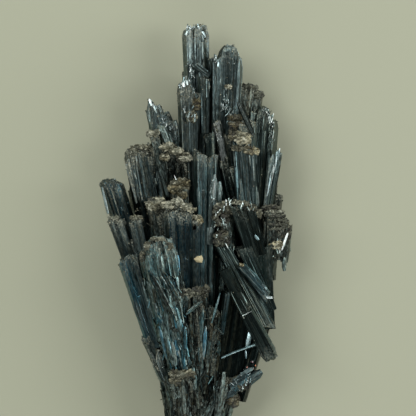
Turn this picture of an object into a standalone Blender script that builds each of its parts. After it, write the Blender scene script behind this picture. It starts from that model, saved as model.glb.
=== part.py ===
"""A stibnite specimen: a fan of prisms grown from one matted root, lying on its back.

The tables are in millimetres and the scene in metres. +Y runs from the broken root to the crown, +X to
the right of someone who looks down on the specimen, and +Z up. The box of the whole specimen is centred
on the origin in X and Y, and its back rests on Z = 0.
"""

import math
import random
from collections import namedtuple

import bmesh
import bpy
from mathutils import Matrix, Vector

MM = 0.001
GAP = 0.36  # how far one crystal stands back from another that it lies against
FOOT_TAPER = 0.8  # a prism is this much narrower at its foot, where the fan is crowded
SECTION_CORNERS = 6
SECTION_START = math.radians(30)  # corner 0 is found within this angle of +X
LUMP_UNEVENNESS = (0.84, 1.08)  # smallest and largest share of a lump's size that a point stands out
TABLE_SIZE = 400.0
WELD = 0.01  # cutting leaves no edge shorter than this

# A prism from foot to tip. Its width lies across the view from above and its depth along it, before the
# roll in degrees about its own axis.
Prism = namedtuple("Prism", "tip foot width depth end roll", defaults=(0.0,))

# A rounded lump: a crust on a prism's end, or a grain on its face.
Lump = namedtuple("Lump", "centre size")

# Each end is a list of rings above the prism's straight part: how far below the tip, as a share of the
# width, and the section's size there across and through.
ENDS = {
    "cleaved": ((0.30, 1.0, 1.0),),
    "broken": ((0.12, 1.0, 1.0),),
    "chisel": ((0.55, 1.0, 1.0), (0.0, 0.85, 0.2)),
    "dome": ((0.55, 1.0, 1.0), (0.16, 0.82, 0.8), (0.0, 0.42, 0.4)),
    "point": ((1.30, 1.0, 1.0), (0.0, 0.14, 0.2)),
}
END_SLOPE = {"cleaved": 0.55, "broken": 0.2}  # rise of a flat end per unit across the prism

# Material, then the prisms and lumps that are grown into one another. What comes first keeps its whole
# shape, and what comes later is fitted round it.
STIBNITE, DARK, BLUE = "stibnite", "dark_stibnite", "blue_stibnite"
MATTED, CALCITE = "matted_stibnite", "calcite"

ROOT = {
    "root_mass": (MATTED, [
        Prism((-2.0, -43.0, 13.6), (-0.5, -67.2, 6.6), 17.0, 17.8, "dome"),
        Prism((-8.5, -47.5, 12.5), (-4.5, -67.6, 10.0), 7.0, 11.0, "broken"),
        Prism((8.5, -46.0, 12.0), (4.0, -67.0, 9.0), 13.0, 13.0, "broken"),
        Prism((-5.0, -46.0, 19.0), (-3.0, -66.5, 14.5), 10.5, 6.5, "broken"),
        Lump((-5.4, -47.4, 20.6), (8.6, 5.0, 4.4)),
        Lump((5.5, -47.5, 17.6), (6.0, 5.0, 4.0)),
    ]),
    "lower_left_blades": (STIBNITE, [
        Prism((-17.2, -34.0, 13.0), (-9.6, -50.0, 12.0), 3.8, 4.0, "cleaved"),
        Prism((-14.2, -42.0, 13.5), (-7.7, -56.0, 12.5), 3.2, 3.6, "cleaved"),
        Prism((-13.0, -39.5, 14.5), (-8.0, -53.0, 13.0), 4.0, 4.0, "point"),
    ]),
    "lower_right_blades": (BLUE, [
        Prism((21.7, -46.2, 12.5), (12.5, -55.0, 12.0), 3.4, 3.0, "cleaved"),
        Prism((18.4, -46.0, 13.5), (11.5, -53.0, 12.5), 3.4, 3.2, "cleaved"),
        Prism((18.3, -51.6, 12.0), (10.5, -57.0, 11.5), 3.0, 3.4, "broken"),
    ]),
}

FRONT = {
    "left_matted_mass": (MATTED, [
        Prism((-12.6, -1.5, 26.5), (-3.0, -52.0, 17.0), 9.5, 8.0, "dome"),
        Prism((-16.2, -7.0, 24.5), (-6.0, -50.0, 15.5), 6.0, 7.0, "cleaved"),
        Prism((-8.6, -8.0, 25.5), (-2.0, -50.0, 17.5), 5.0, 6.0, "cleaved"),
        Lump((-12.8, -4.6, 28.6), (8.6, 6.4, 4.6)),
    ]),
    "lower_ledge_mass": (MATTED, [
        Prism((-3.6, -19.0, 23.0), (-1.5, -52.0, 17.5), 6.4, 6.5, "broken"),
        Prism((1.4, -18.2, 22.5), (1.0, -52.0, 17.0), 6.0, 6.5, "broken"),
        Prism((6.0, -23.5, 21.5), (4.0, -52.0, 16.5), 5.4, 6.0, "cleaved"),
        Lump((-3.8, -20.6, 25.2), (6.4, 4.0, 3.6)),
        Lump((1.6, -20.0, 24.8), (5.6, 4.2, 3.4)),
    ]),
    "front_diagonal": (DARK, [
        Prism((25.6, -42.4, 23.0), (9.0, -11.6, 27.0), 6.2, 5.0, "dome", 8.0),
    ]),
    "blue_blade": (BLUE, [
        Prism((24.8, -22.4, 22.9), (15.0, -11.0, 23.7), 2.9, 2.6, "cleaved", -12.0),
    ]),
    "rear_diagonal": (DARK, [
        Prism((24.3, -33.5, 19.5), (8.2, -3.5, 22.0), 6.6, 5.0, "cleaved", -10.0),
    ]),
    "centre_left_prism": (BLUE, [
        Prism((-8.0, 8.6, 23.5), (-5.2, -34.0, 17.5), 5.4, 8.0, "broken", 6.0),
        Prism((-3.6, 8.0, 24.0), (-2.8, -34.0, 17.5), 5.4, 8.0, "broken", -6.0),
    ]),
    "notched_prism": (BLUE, [
        Prism((0.5, 5.0, 21.5), (0.8, -30.0, 17.0), 4.4, 6.0, "broken", -8.0),
        Lump((0.3, 4.0, 23.8), (3.8, 2.6, 2.2)),
    ]),
    "calcite_grain": (CALCITE, [
        Lump((1.2, -8.8, 24.0), (3.4, 2.6, 2.4)),
    ]),
    "centre_prism": (STIBNITE, [
        Prism((1.7, 27.6, 22.5), (2.2, -34.0, 15.5), 5.0, 6.5, "cleaved", 12.0),
        Prism((4.9, 26.2, 21.5), (4.8, -34.0, 14.5), 4.8, 6.0, "cleaved", -14.0),
    ]),
    "bright_shard": (STIBNITE, [
        Prism((6.3, 19.3, 25.0), (4.7, -4.0, 21.5), 2.8, 2.2, "point", 20.0),
        Prism((8.1, 17.0, 24.0), (6.3, 2.0, 21.0), 2.4, 2.4, "point", -25.0),
    ]),
    "thin_blue_blade": (BLUE, [
        Prism((10.9, -19.3, 19.9), (8.7, -34.0, 17.8), 1.8, 1.6, "cleaved"),
    ]),
    "cross_needle": (BLUE, [
        Prism((20.8, -37.0, 18.6), (5.5, -43.0, 18.6), 1.1, 1.1, "point"),
    ]),
}

LEFT = {
    "left_step_pair": (STIBNITE, [
        Prism((-27.0, 5.2, 19.0), (-17.5, -22.0, 17.0), 5.8, 6.0, "broken", 10.0),
        Prism((-19.8, 5.2, 19.0), (-13.5, -22.0, 17.0), 5.2, 6.0, "broken", -8.0),
        Prism((-23.2, -2.0, 18.0), (-15.0, -24.0, 16.5), 4.4, 5.0, "broken"),
    ]),
    "left_prong": (STIBNITE, [
        Prism((-30.1, 17.6, 15.5), (-19.4, -16.0, 14.0), 5.2, 7.0, "dome", 16.0),
        Prism((-26.9, 16.6, 16.0), (-16.6, -16.0, 14.5), 5.6, 7.0, "dome", -12.0),
    ]),
    "left_long_pair": (BLUE, [
        Prism((-24.3, -7.0, 19.5), (-13.2, -42.0, 15.5), 4.6, 5.5, "cleaved", 8.0),
        Prism((-20.8, -6.6, 20.0), (-10.8, -42.0, 16.0), 4.0, 5.5, "broken", -8.0),
    ]),
    "crusted_back_prism": (MATTED, [
        Prism((-13.6, 11.0, 20.5), (-9.0, -14.0, 18.0), 6.4, 6.0, "broken"),
        Lump((-13.0, 9.4, 22.8), (6.6, 4.4, 4.0)),
    ]),
    "shelf_prism": (MATTED, [
        Prism((-5.0, 17.6, 19.5), (-4.2, -8.0, 17.0), 6.4, 5.5, "broken"),
        Lump((-5.2, 15.6, 21.6), (6.4, 5.0, 3.6)),
    ]),
    "crust_ledge": (MATTED, [
        Prism((-8.4, 28.5, 18.0), (-6.5, 6.0, 15.5), 5.6, 5.5, "broken"),
        Prism((-4.4, 26.0, 18.0), (-3.8, 6.0, 15.5), 4.8, 5.0, "broken"),
        Lump((-8.2, 27.4, 19.6), (5.8, 4.0, 3.8)),
        Lump((-4.4, 25.0, 19.6), (4.4, 3.6, 3.4)),
    ]),
    "crust_stub": (MATTED, [
        Prism((-14.0, 34.2, 17.5), (-8.5, 12.0, 15.5), 4.4, 5.0, "broken"),
        Prism((-12.2, 33.4, 19.0), (-8.4, 22.0, 17.5), 2.6, 2.6, "cleaved"),
    ]),
    "left_block": (STIBNITE, [
        Prism((-18.2, 29.4, 14.5), (-11.4, -10.0, 14.0), 7.2, 8.0, "broken", 6.0),
        Prism((-21.8, 28.0, 15.5), (-14.7, -8.0, 14.5), 5.0, 6.5, "dome", 18.0),
        Prism((-13.0, 27.0, 14.5), (-8.5, -8.0, 13.5), 5.0, 6.5, "cleaved", -12.0),
        Lump((-18.0, 27.6, 17.2), (8.0, 4.4, 4.4)),
    ]),
    "left_spike_fan": (STIBNITE, [
        Prism((-15.4, 44.5, 12.5), (-8.0, 8.0, 11.5), 4.4, 4.5, "point", 10.0),
        Prism((-12.3, 42.6, 13.0), (-6.5, 8.0, 12.0), 3.6, 4.2, "point"),
        Prism((-9.5, 40.4, 13.5), (-5.0, 8.0, 12.5), 3.4, 4.2, "point", -10.0),
        Prism((-6.8, 37.6, 14.0), (-4.0, 8.0, 13.0), 3.2, 4.2, "point"),
    ]),
}

RIGHT = {
    "crusted_cluster": (MATTED, [
        Prism((8.9, 10.0, 23.5), (12.5, -12.0, 19.0), 5.4, 6.0, "broken"),
        Prism((13.2, 9.4, 24.5), (20.5, -12.0, 19.5), 5.6, 6.0, "cleaved", 8.0),
        Prism((17.8, 9.6, 23.0), (23.5, -12.0, 18.5), 5.0, 6.0, "broken", -8.0),
        Lump((9.2, 7.6, 25.6), (5.6, 5.0, 4.0)),
        Lump((14.0, 8.4, 26.4), (6.2, 4.6, 4.2)),
        Lump((18.6, 7.8, 25.0), (5.2, 4.6, 4.0)),
    ]),
    "right_prism": (STIBNITE, [
        Prism((13.4, 37.0, 19.5), (15.8, 0.0, 17.0), 4.8, 7.0, "broken", 10.0),
        Prism((17.5, 38.0, 19.5), (19.4, 0.0, 17.0), 5.0, 7.0, "broken", -10.0),
        Lump((14.6, 31.0, 22.4), (6.0, 9.0, 3.6)),
    ]),
    "right_slab": (DARK, [
        Prism((16.0, -3.0, 19.5), (24.4, -27.0, 16.5), 6.4, 5.5, "broken"),
        Prism((22.8, -4.0, 18.5), (24.4, -32.0, 15.5), 5.4, 6.0, "broken"),
    ]),
    "right_bulge": (MATTED, [
        Prism((24.6, 9.0, 18.5), (23.5, -22.0, 14.5), 7.4, 7.0, "broken"),
        Prism((28.6, 5.6, 16.5), (26.6, -20.0, 13.5), 5.8, 6.5, "broken", 10.0),
        Prism((30.8, 1.6, 15.0), (29.0, -14.0, 13.5), 3.2, 4.5, "cleaved"),
        Lump((25.0, 7.4, 20.6), (6.6, 4.4, 4.4)),
        Lump((28.6, 3.8, 18.6), (5.4, 4.0, 4.0)),
    ]),
    "right_fringe": (STIBNITE, [
        Prism((28.0, 27.6, 17.5), (24.6, 8.0, 16.0), 2.4, 2.6, "cleaved", 20.0),
        Prism((26.0, 26.0, 18.5), (23.4, 7.0, 17.0), 2.2, 2.6, "point", -15.0),
    ]),
    "right_edge_blade": (DARK, [
        Prism((26.3, 25.2, 13.0), (24.2, -16.0, 11.5), 3.4, 4.5, "cleaved"),
        Prism((27.0, 13.4, 13.0), (25.0, -16.0, 11.5), 4.6, 5.0, "broken"),
    ]),
    "right_tall_prism": (DARK, [
        Prism((22.4, 42.0, 15.0), (18.5, -10.0, 12.5), 6.6, 7.5, "dome", 8.0),
        Prism((25.3, 38.0, 14.0), (22.5, -10.0, 12.0), 5.0, 7.0, "dome", -14.0),
        Prism((19.2, 40.0, 14.5), (16.5, -10.0, 12.5), 4.2, 6.0, "broken", 20.0),
    ]),
    "black_prism": (DARK, [
        Prism((15.6, -13.0, 14.5), (8.5, -56.0, 12.0), 13.0, 7.5, "cleaved", 6.0),
        Prism((22.6, -27.0, 13.5), (14.0, -56.0, 11.0), 7.5, 6.5, "cleaved", -10.0),
    ]),
    "right_back_stub": (MATTED, [
        Prism((18.0, 49.6, 10.5), (13.5, -8.0, 9.0), 5.6, 6.0, "broken"),
        Prism((20.7, 46.4, 10.0), (16.5, -6.0, 8.5), 4.0, 5.0, "broken"),
        Lump((18.2, 47.6, 12.0), (5.6, 4.6, 3.8)),
    ]),
}

CROWN = {
    "left_pillar": (STIBNITE, [
        Prism((-3.7, 50.0, 20.0), (-2.2, 8.0, 16.0), 5.4, 5.5, "dome", 10.0),
        Prism((0.0, 46.8, 19.5), (-0.8, 8.0, 15.5), 3.8, 5.0, "broken", -10.0),
    ]),
    "inner_stub": (DARK, [
        Prism((5.0, 33.4, 18.0), (5.8, 4.0, 15.0), 4.6, 5.0, "broken"),
    ]),
    "inner_blades": (DARK, [
        Prism((7.0, 37.2, 18.5), (12.4, 10.0, 16.5), 2.8, 3.2, "cleaved"),
        Prism((10.0, 33.0, 17.5), (14.4, 8.0, 15.5), 2.8, 3.4, "cleaved"),
        Prism((8.8, 24.5, 18.5), (12.8, 4.0, 17.0), 3.0, 3.4, "cleaved"),
    ]),
    "crown_prism": (STIBNITE, [
        Prism((11.2, 62.2, 16.0), (8.6, 2.0, 12.0), 7.8, 7.0, "dome", 6.0),
        Prism((13.9, 54.0, 15.0), (11.4, 2.0, 11.5), 5.2, 6.5, "dome", -14.0),
        Prism((6.6, 58.6, 17.0), (6.2, 4.0, 12.5), 4.6, 5.5, "broken", 10.0),
        Prism((3.0, 52.0, 17.5), (3.2, 34.5, 16.0), 3.6, 4.5, "broken"),
        Prism((-0.8, 56.2, 18.5), (4.6, 52.0, 18.0), 2.6, 2.2, "cleaved"),
    ]),
    "crown_blade": (STIBNITE, [
        Prism((-2.6, 68.2, 13.5), (-0.4, 2.0, 11.5), 3.8, 5.5, "dome", 12.0),
        Prism((1.7, 69.3, 13.0), (2.6, 2.0, 11.0), 5.8, 5.5, "dome", -8.0),
    ]),
}

# Prisms behind the visible ones. They fill the fan between its front and its back.
MIDDLE = {
    "middle_left_low": (DARK, [Prism((-16.0, 0.0, 12.5), (-5.0, -50.0, 11.5), 8.5, 8.5, "broken", 10.0)]),
    "middle_left": (DARK, [Prism((-9.0, 24.0, 11.5), (-3.0, -48.0, 11.0), 8.5, 8.0, "cleaved", -8.0)]),
    "middle_centre": (DARK, [Prism((1.5, 12.0, 14.0), (0.5, -48.0, 12.0), 8.0, 8.0, "broken", 5.0)]),
    "middle_right": (DARK, [Prism((13.0, 30.0, 11.5), (4.5, -48.0, 11.0), 9.0, 8.0, "cleaved", -10.0)]),
    "middle_right_low": (DARK, [Prism((19.0, 0.0, 12.0), (7.5, -50.0, 11.0), 9.0, 8.5, "broken", 12.0)]),
}

# The back of the fan, which the specimen lies on.
BACK = {
    "back_left_low": (DARK, [Prism((-20.5, -4.0, 4.6), (-8.5, -51.0, 5.6), 7.0, 9.8, "cleaved")]),
    "back_left": (DARK, [Prism((-20.0, 17.0, 5.6), (-5.0, -52.0, 5.2), 7.6, 9.4, "dome", 4.0)]),
    "back_left_tall": (DARK, [Prism((-11.0, 36.0, 5.5), (-3.0, -50.0, 5.0), 8.0, 9.5, "broken", -5.0)]),
    "back_centre": (DARK, [Prism((-0.6, 54.0, 5.2), (0.0, -55.0, 5.0), 7.8, 10.6, "chisel")]),
    "back_crown": (DARK, [Prism((7.5, 51.0, 6.5), (2.5, -50.0, 5.2), 8.0, 9.5, "dome", 6.0)]),
    "back_right_tall": (DARK, [Prism((17.5, 36.0, 5.5), (5.0, -50.0, 5.2), 8.4, 9.0, "cleaved", -4.0)]),
    "back_right": (DARK, [Prism((25.0, 14.0, 5.6), (7.5, -52.0, 5.2), 8.0, 9.2, "broken", 5.0)]),
    "back_right_low": (DARK, [Prism((23.0, -16.0, 4.6), (9.5, -54.0, 5.6), 7.0, 9.8, "dome")]),
}

# Base colour, metallic and roughness of each material.
FINISHES = {
    STIBNITE: ((0.11, 0.14, 0.145), 0.9, 0.35),
    DARK: ((0.045, 0.055, 0.058), 0.9, 0.3),
    BLUE: ((0.09, 0.15, 0.19), 0.9, 0.32),
    MATTED: ((0.12, 0.125, 0.11), 0.5, 0.6),
    CALCITE: ((0.62, 0.6, 0.5), 0.0, 0.5),
}


def clear_scene():
    for obj in list(bpy.data.objects):
        bpy.data.objects.remove(obj)


def make_collection(name):
    collection = bpy.data.collections.new(name)
    bpy.context.scene.collection.children.link(collection)
    return collection


def make_material(name):
    colour, metallic, roughness = FINISHES[name]
    material = bpy.data.materials.new(name)
    material.use_nodes = True
    shader = material.node_tree.nodes["Principled BSDF"]
    shader.inputs["Base Color"].default_value = (*colour, 1.0)
    shader.inputs["Metallic"].default_value = metallic
    shader.inputs["Roughness"].default_value = roughness
    return material


def finished_mesh(bm):
    mesh = bpy.data.meshes.new("solid")
    bm.to_mesh(mesh)
    bm.free()
    return mesh


def section(width, depth, rng):
    """The corners of a flattened, uneven prism section, anticlockwise from +X."""
    side = [rng.uniform(-0.18, 0.18) * depth for _ in range(2)]
    face = [rng.uniform(0.16, 0.36) * width for _ in range(4)]
    return [
        (width / 2, side[0]),
        (face[0], depth / 2),
        (-face[1], depth / 2),
        (-width / 2, side[1]),
        (-face[2], -depth / 2),
        (face[3], -depth / 2),
    ]


def placing(prism):
    """The matrix that puts a prism made along +Z, with its foot at the origin, in its place in the fan."""
    along = (Vector(prism.tip) - Vector(prism.foot)).normalized()
    across = along.cross(Vector((0.0, 0.0, 1.0))).normalized()
    through = along.cross(across)
    turned = Matrix((across, through, along)).transposed().to_4x4()
    return Matrix.Translation(prism.foot) @ turned @ Matrix.Rotation(math.radians(prism.roll), 4, "Z")


def lay_section(face, old_size, corners, size, height):
    """Moves a section's face onto the corners, scaled by size. height gives Z at a place in the section."""

    def turn(vertex):
        angle = math.atan2(vertex.co.y / old_size[1], vertex.co.x / old_size[0])
        return (angle + SECTION_START) % math.tau

    for vertex, (x, y) in zip(sorted(face.verts, key=turn), corners):
        vertex.co = (x * size[0], y * size[1], height(x, y))


def prism_mesh(prism, rng, grow):
    """One closed prism in millimetres. grow is how much larger it is on every side, for a cutter."""
    width, depth = prism.width + 2 * grow, prism.depth + 2 * grow
    corners = section(width, depth, rng)
    slope = END_SLOPE.get(prism.end, 0.0)
    slope_x, slope_y = rng.choice((-1, 1)) * slope, rng.uniform(-0.5, 0.5) * slope
    length = (Vector(prism.tip) - Vector(prism.foot)).length + grow
    shoulder, *upper_rings = ENDS[prism.end]
    shoulder_height = length - shoulder[0] * prism.width

    bm = bmesh.new()
    bmesh.ops.create_cone(
        bm, cap_ends=True, segments=SECTION_CORNERS, radius1=1.0, radius2=1.0, depth=length
    )
    caps = sorted(bm.faces, key=lambda face: face.calc_center_median().z)
    foot, top = caps[0], caps[-1]
    lay_section(foot, (1, 1), corners, (FOOT_TAPER, FOOT_TAPER), lambda x, y: -grow)
    lay_section(top, (1, 1), corners, (1, 1), lambda x, y: shoulder_height + slope_x * x + slope_y * y)
    for drop, size_x, size_y in upper_rings:
        top = bmesh.ops.extrude_discrete_faces(bm, faces=[top])["faces"][0]
        lay_section(top, (width, depth), corners, (size_x, size_y), lambda x, y: length - drop * prism.width)
    mesh = finished_mesh(bm)
    mesh.transform(placing(prism))
    return mesh


def lump_mesh(lump, rng, grow):
    """One closed uneven lump in millimetres: a coarse sphere, pressed to its size."""
    bm = bmesh.new()
    bmesh.ops.create_icosphere(bm, subdivisions=2, radius=0.5)
    for vertex in bm.verts:
        unevenness = rng.uniform(*LUMP_UNEVENNESS)
        vertex.co = Vector(a * (b * unevenness + 2 * grow) for a, b in zip(vertex.co, lump.size))
    bmesh.ops.translate(bm, verts=bm.verts, vec=lump.centre)
    return finished_mesh(bm)


def grown_mesh(name, index, item, grow=0.0):
    """The mesh of a crystal's prism or lump. Its uneven sides follow from its name and place in the table."""
    rng = random.Random(f"{name} {index}")
    if isinstance(item, Prism):
        return prism_mesh(item, rng, grow)
    return lump_mesh(item, rng, grow)


def table_mesh():
    """The surface that the specimen lies on, as a block just under Z = 0."""
    bm = bmesh.new()
    bmesh.ops.create_cube(bm, size=TABLE_SIZE)
    bmesh.ops.translate(bm, verts=bm.verts, vec=(0.0, 0.0, -TABLE_SIZE / 2))
    return finished_mesh(bm)


def corners_of(mesh):
    """The lowest and highest corner of a mesh."""
    low = Vector(min(v.co[i] for v in mesh.vertices) for i in range(3))
    high = Vector(max(v.co[i] for v in mesh.vertices) for i in range(3))
    return low, high


def near(box, other):
    return all(box[0][i] < other[1][i] and other[0][i] < box[1][i] for i in range(3))


def guide(mesh, collection):
    """A helper that is only joined to or cut from a crystal."""
    obj = bpy.data.objects.new("guide", mesh)
    obj.hide_render = True
    obj.display_type = "WIRE"
    collection.objects.link(obj)
    return obj


def volume_of(faces):
    """The volume inside a closed set of faces."""
    total = 0.0
    for face in faces:
        first, *others = [loop.vert.co for loop in face.loops]
        for second, third in zip(others, others[1:]):
            total += first.dot(second.cross(third)) / 6
    return total


def drop_offcuts(mesh):
    """Leaves the largest closed body of a mesh that cutting has left in several."""
    bm = bmesh.new()
    bm.from_mesh(mesh)
    unseen, bodies = set(bm.faces), []
    while unseen:
        body, edge_of_body = set(), [unseen.pop()]
        while edge_of_body:
            face = edge_of_body.pop()
            body.add(face)
            linked = {other for edge in face.edges for other in edge.link_faces} & unseen
            unseen -= linked
            edge_of_body.extend(linked)
        bodies.append(body)
    bodies.sort(key=volume_of)
    offcuts = [face for body in bodies[:-1] for face in body]
    bmesh.ops.delete(bm, geom=offcuts, context="FACES")
    bmesh.ops.dissolve_degenerate(bm, edges=bm.edges, dist=WELD)
    bm.to_mesh(mesh)
    bm.free()


def boolean(obj, operation, others):
    """A Boolean of the object with all the objects of a collection at once."""
    modifier = obj.modifiers.new(operation.lower(), "BOOLEAN")
    modifier.operation = operation
    modifier.operand_type = "COLLECTION"
    modifier.collection = others
    modifier.solver = "EXACT"


def grown_together(name, meshes, cutters, helpers):
    """One crystal object: its meshes joined, then cut back from the cutters that come near."""
    obj = bpy.data.objects.new(name, meshes[0])
    helpers.objects.link(obj)
    joined = make_collection("joined")
    for mesh in meshes[1:]:
        guide(mesh, joined)
    near_by = make_collection("near_by")
    boxes = [corners_of(mesh) for mesh in meshes]
    for cutter, cutter_box in cutters:
        if any(near(box, cutter_box) for box in boxes):
            near_by.objects.link(cutter)
    if joined.objects:
        boolean(obj, "UNION", joined)
    if near_by.objects:
        boolean(obj, "DIFFERENCE", near_by)
    evaluated = obj.evaluated_get(bpy.context.evaluated_depsgraph_get())
    solid = bpy.data.meshes.new_from_object(evaluated)
    obj.modifiers.clear()
    for helper in list(joined.objects):
        bpy.data.objects.remove(helper)
    bpy.data.collections.remove(joined)
    bpy.data.collections.remove(near_by)
    drop_offcuts(solid)
    solid.transform(Matrix.Scale(MM, 4))
    solid.name = name
    obj.data = solid
    return obj


def main():
    clear_scene()
    specimen = make_collection("stibnite_specimen")
    helpers = make_collection("cutters")
    materials = {name: make_material(name) for name in FINISHES}
    table = guide(table_mesh(), helpers)
    cutters = [(table, corners_of(table.data))]
    finished = []

    for group in (ROOT, FRONT, LEFT, RIGHT, CROWN, MIDDLE, BACK):
        for name, (finish, items) in group.items():
            meshes = [grown_mesh(name, index, item) for index, item in enumerate(items)]
            finished.append((grown_together(name, meshes, cutters, helpers), finish))
            for index, item in enumerate(items):
                cutter = guide(grown_mesh(name, index, item, GAP), helpers)
                cutters.append((cutter, corners_of(cutter.data)))

    for obj, finish in finished:
        helpers.objects.unlink(obj)
        specimen.objects.link(obj)
        obj.data.materials.clear()
        obj.data.materials.append(materials[finish])
    for helper in list(helpers.objects):
        bpy.data.objects.remove(helper)
    bpy.data.collections.remove(helpers)


main()
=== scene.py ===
"""The looks of a stibnite specimen: a fan of striated metallic prisms, seen from straight above.

It lies on its back on a pale floor. Lengths in the sections are in millimetres, in the row frame: +Y runs
from the broken root to the crown, +X to the right of the view, and +Z up to the camera.
"""

import math
import random
import zlib
from collections import namedtuple

import bpy
import numpy as np
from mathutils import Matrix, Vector


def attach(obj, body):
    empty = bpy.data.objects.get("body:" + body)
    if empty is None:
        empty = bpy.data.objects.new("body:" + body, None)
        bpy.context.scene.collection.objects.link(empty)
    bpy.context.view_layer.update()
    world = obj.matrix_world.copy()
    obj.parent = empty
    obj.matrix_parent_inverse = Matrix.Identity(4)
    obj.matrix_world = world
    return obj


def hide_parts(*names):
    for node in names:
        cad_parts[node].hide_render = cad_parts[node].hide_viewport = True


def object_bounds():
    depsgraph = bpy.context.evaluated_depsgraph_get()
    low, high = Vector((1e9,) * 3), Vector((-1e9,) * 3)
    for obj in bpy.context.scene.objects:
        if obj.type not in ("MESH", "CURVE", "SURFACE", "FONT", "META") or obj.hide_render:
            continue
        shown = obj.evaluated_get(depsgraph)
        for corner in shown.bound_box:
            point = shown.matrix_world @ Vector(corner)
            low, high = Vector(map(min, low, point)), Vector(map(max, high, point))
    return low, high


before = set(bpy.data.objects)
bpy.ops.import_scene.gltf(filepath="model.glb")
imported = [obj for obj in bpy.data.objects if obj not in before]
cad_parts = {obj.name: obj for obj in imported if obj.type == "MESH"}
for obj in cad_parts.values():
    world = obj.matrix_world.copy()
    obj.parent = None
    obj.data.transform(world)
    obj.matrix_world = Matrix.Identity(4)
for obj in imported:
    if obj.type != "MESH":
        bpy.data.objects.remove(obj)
cad_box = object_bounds()

# Root
# Where all the prisms start: a broken end of matted needles under a crust ledge, with small loose blades at
# its sides. Stibnite grew here as a felt before it grew as prisms.

MM = 0.001
SHARP_EDGE = math.radians(20)
SPARE = 0.6 * MM  # how far crust may stand out of the frame's box, but for its underside
OUTLINE = np.array(cad_box[0]) - (SPARE, SPARE, 0), np.array(cad_box[1]) + SPARE
CRUST_SLOT, FRESH_SLOT = 1, 2  # a piece's second and third material, after that of its prisms

# A prism as the frame has it: tip, foot, width across the view, depth along it, kind of end, roll in degrees.
# A prism may have a habit of its own.
Prism = namedtuple("Prism", "tip foot width depth end roll habit", defaults=(0.0, None))

# How a crystal's surface has grown and broken. ragged is how unevenly its end is broken, deep the share of
# its parallel crystals that stop far below the tip and deepest how far. ridge is the height of the striations
# and ledges how many steps its faces have. splinters and dust are how many thin crystals and grains of crust
# lie on 100 mm2 of its faces, and reach is how far below its end the crust goes. crust, pale, tarnish and
# shade are how much crust there is, how light it is, how thick the film of tarnish and how light the metal,
# from 0 to 1. A tarnish above 1 turns violet and orange. broad is the share of the width that half of a front
# face takes, and slot is the prism's material in its piece.
Habit = namedtuple(
    "Habit",
    "ragged deep deepest ridge ledges splinters dust reach crust pale tarnish shade broad slot",
    defaults=(0.5, 0.25, 5.0, 0.025, 5, 2.5, 10.0, 2.5, 0.4, 0.45, 0.1, 0.5, 0.26, 0),
)


class Heap:
    """Collects the points and faces of one mesh, and the crust, tarnish and shade that mark each point."""

    def __init__(self):
        self.points, self.faces, self.slots, self.grain = [], [], [], []
        self.marks = {"crust": [], "tarnish": [], "shade": []}
        self.count = 0

    def add(self, points, faces, grain, slot, **marks):
        """faces are arrays of faces with as many corners each, and grain the points' places in a pattern."""
        for array in faces:
            self.faces.append(array + self.count)
            self.slots.append(np.full(len(array), slot))
        self.points.append(points)
        self.grain.append(grain)
        for mark, value in marks.items():
            self.marks[mark].append(np.broadcast_to(value, len(points)))
        self.count += len(points)

    def mesh(self, name):
        points = np.clip(np.concatenate(self.points) * MM, *OUTLINE)
        corners = np.concatenate([array.ravel() for array in self.faces])
        sizes = np.concatenate([np.full(len(array), array.shape[1]) for array in self.faces])
        mesh = bpy.data.meshes.new(name)
        mesh.vertices.add(len(points))
        mesh.vertices.foreach_set("co", points.ravel())
        mesh.loops.add(len(corners))
        mesh.loops.foreach_set("vertex_index", corners)
        mesh.polygons.add(len(sizes))
        mesh.polygons.foreach_set("loop_start", np.cumsum(sizes) - sizes)
        mesh.polygons.foreach_set("material_index", np.concatenate(self.slots))
        mesh.update(calc_edges=True)
        grain = mesh.attributes.new("grain", "FLOAT_VECTOR", "POINT")
        grain.data.foreach_set("vector", np.concatenate(self.grain).ravel())
        for mark, values in self.marks.items():
            mesh.attributes.new(mark, "FLOAT", "POINT").data.foreach_set("value", np.concatenate(values))
        mesh.shade_smooth()
        mesh.set_sharp_from_angle(angle=SHARP_EDGE)
        return mesh


def unit(vectors):
    return vectors / np.linalg.norm(vectors, axis=-1, keepdims=True)


def axes_of(prism):
    """The prism's own x, y and length axes in the row frame, as rows. Its y points away from the view."""
    along = unit(np.subtract(prism.tip, prism.foot))
    across = unit(np.cross(along, (0.0, 0.0, 1.0)))
    through = np.cross(along, across)
    turn = math.radians(prism.roll)
    return np.array((
        across * math.cos(turn) + through * math.sin(turn),
        through * math.cos(turn) - across * math.sin(turn),
        along,
    ))


SKEW, FACE_STRAY = 0.18, 0.08  # how far the edges of a section stray, as shares of its depth and width


def section(width, depth, broad, draw):
    """The corners of a flattened, uneven prism section, anticlockwise from +X."""
    side = [draw.uniform(-SKEW, SKEW) * depth for _ in range(2)]
    face = [(broad + draw.uniform(-FACE_STRAY, FACE_STRAY)) * width for _ in range(4)]
    return [
        (width / 2, side[0]),
        (face[0], depth / 2),
        (-face[1], depth / 2),
        (-width / 2, side[1]),
        (-face[2], -depth / 2),
        (face[3], -depth / 2),
    ]


COLUMN_STEP, ROW_STEP, RING_STEP = 0.4, 4.5, 0.5  # between a prism's points round it, along it and on its end


def columns_round(corners):
    """Points round a section, the outward direction at each, and the number of the face that each is on."""
    points, outward, sides = [], [], []
    for number, (start, end) in enumerate(zip(corners, corners[1:] + corners[:1])):
        start, end = np.array(start), np.array(end)
        count = max(2, round(math.dist(start, end) / COLUMN_STEP))
        side = unit(end - start)
        points += [start + (end - start) * k / count for k in range(count)]
        outward += [(side[1], -side[0])] * count
        sides += [number] * count
    outward = np.array(outward)
    return np.array(points), unit(outward + np.roll(outward, 1, axis=0) * 0.5), np.array(sides)


END_SLOPE = {"cleaved": 0.55, "broken": 0.2}
END_MIDDLE = {"cleaved": 0.3, "broken": 0.12}  # how far the middle of the end lies below the tip, in widths


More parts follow.
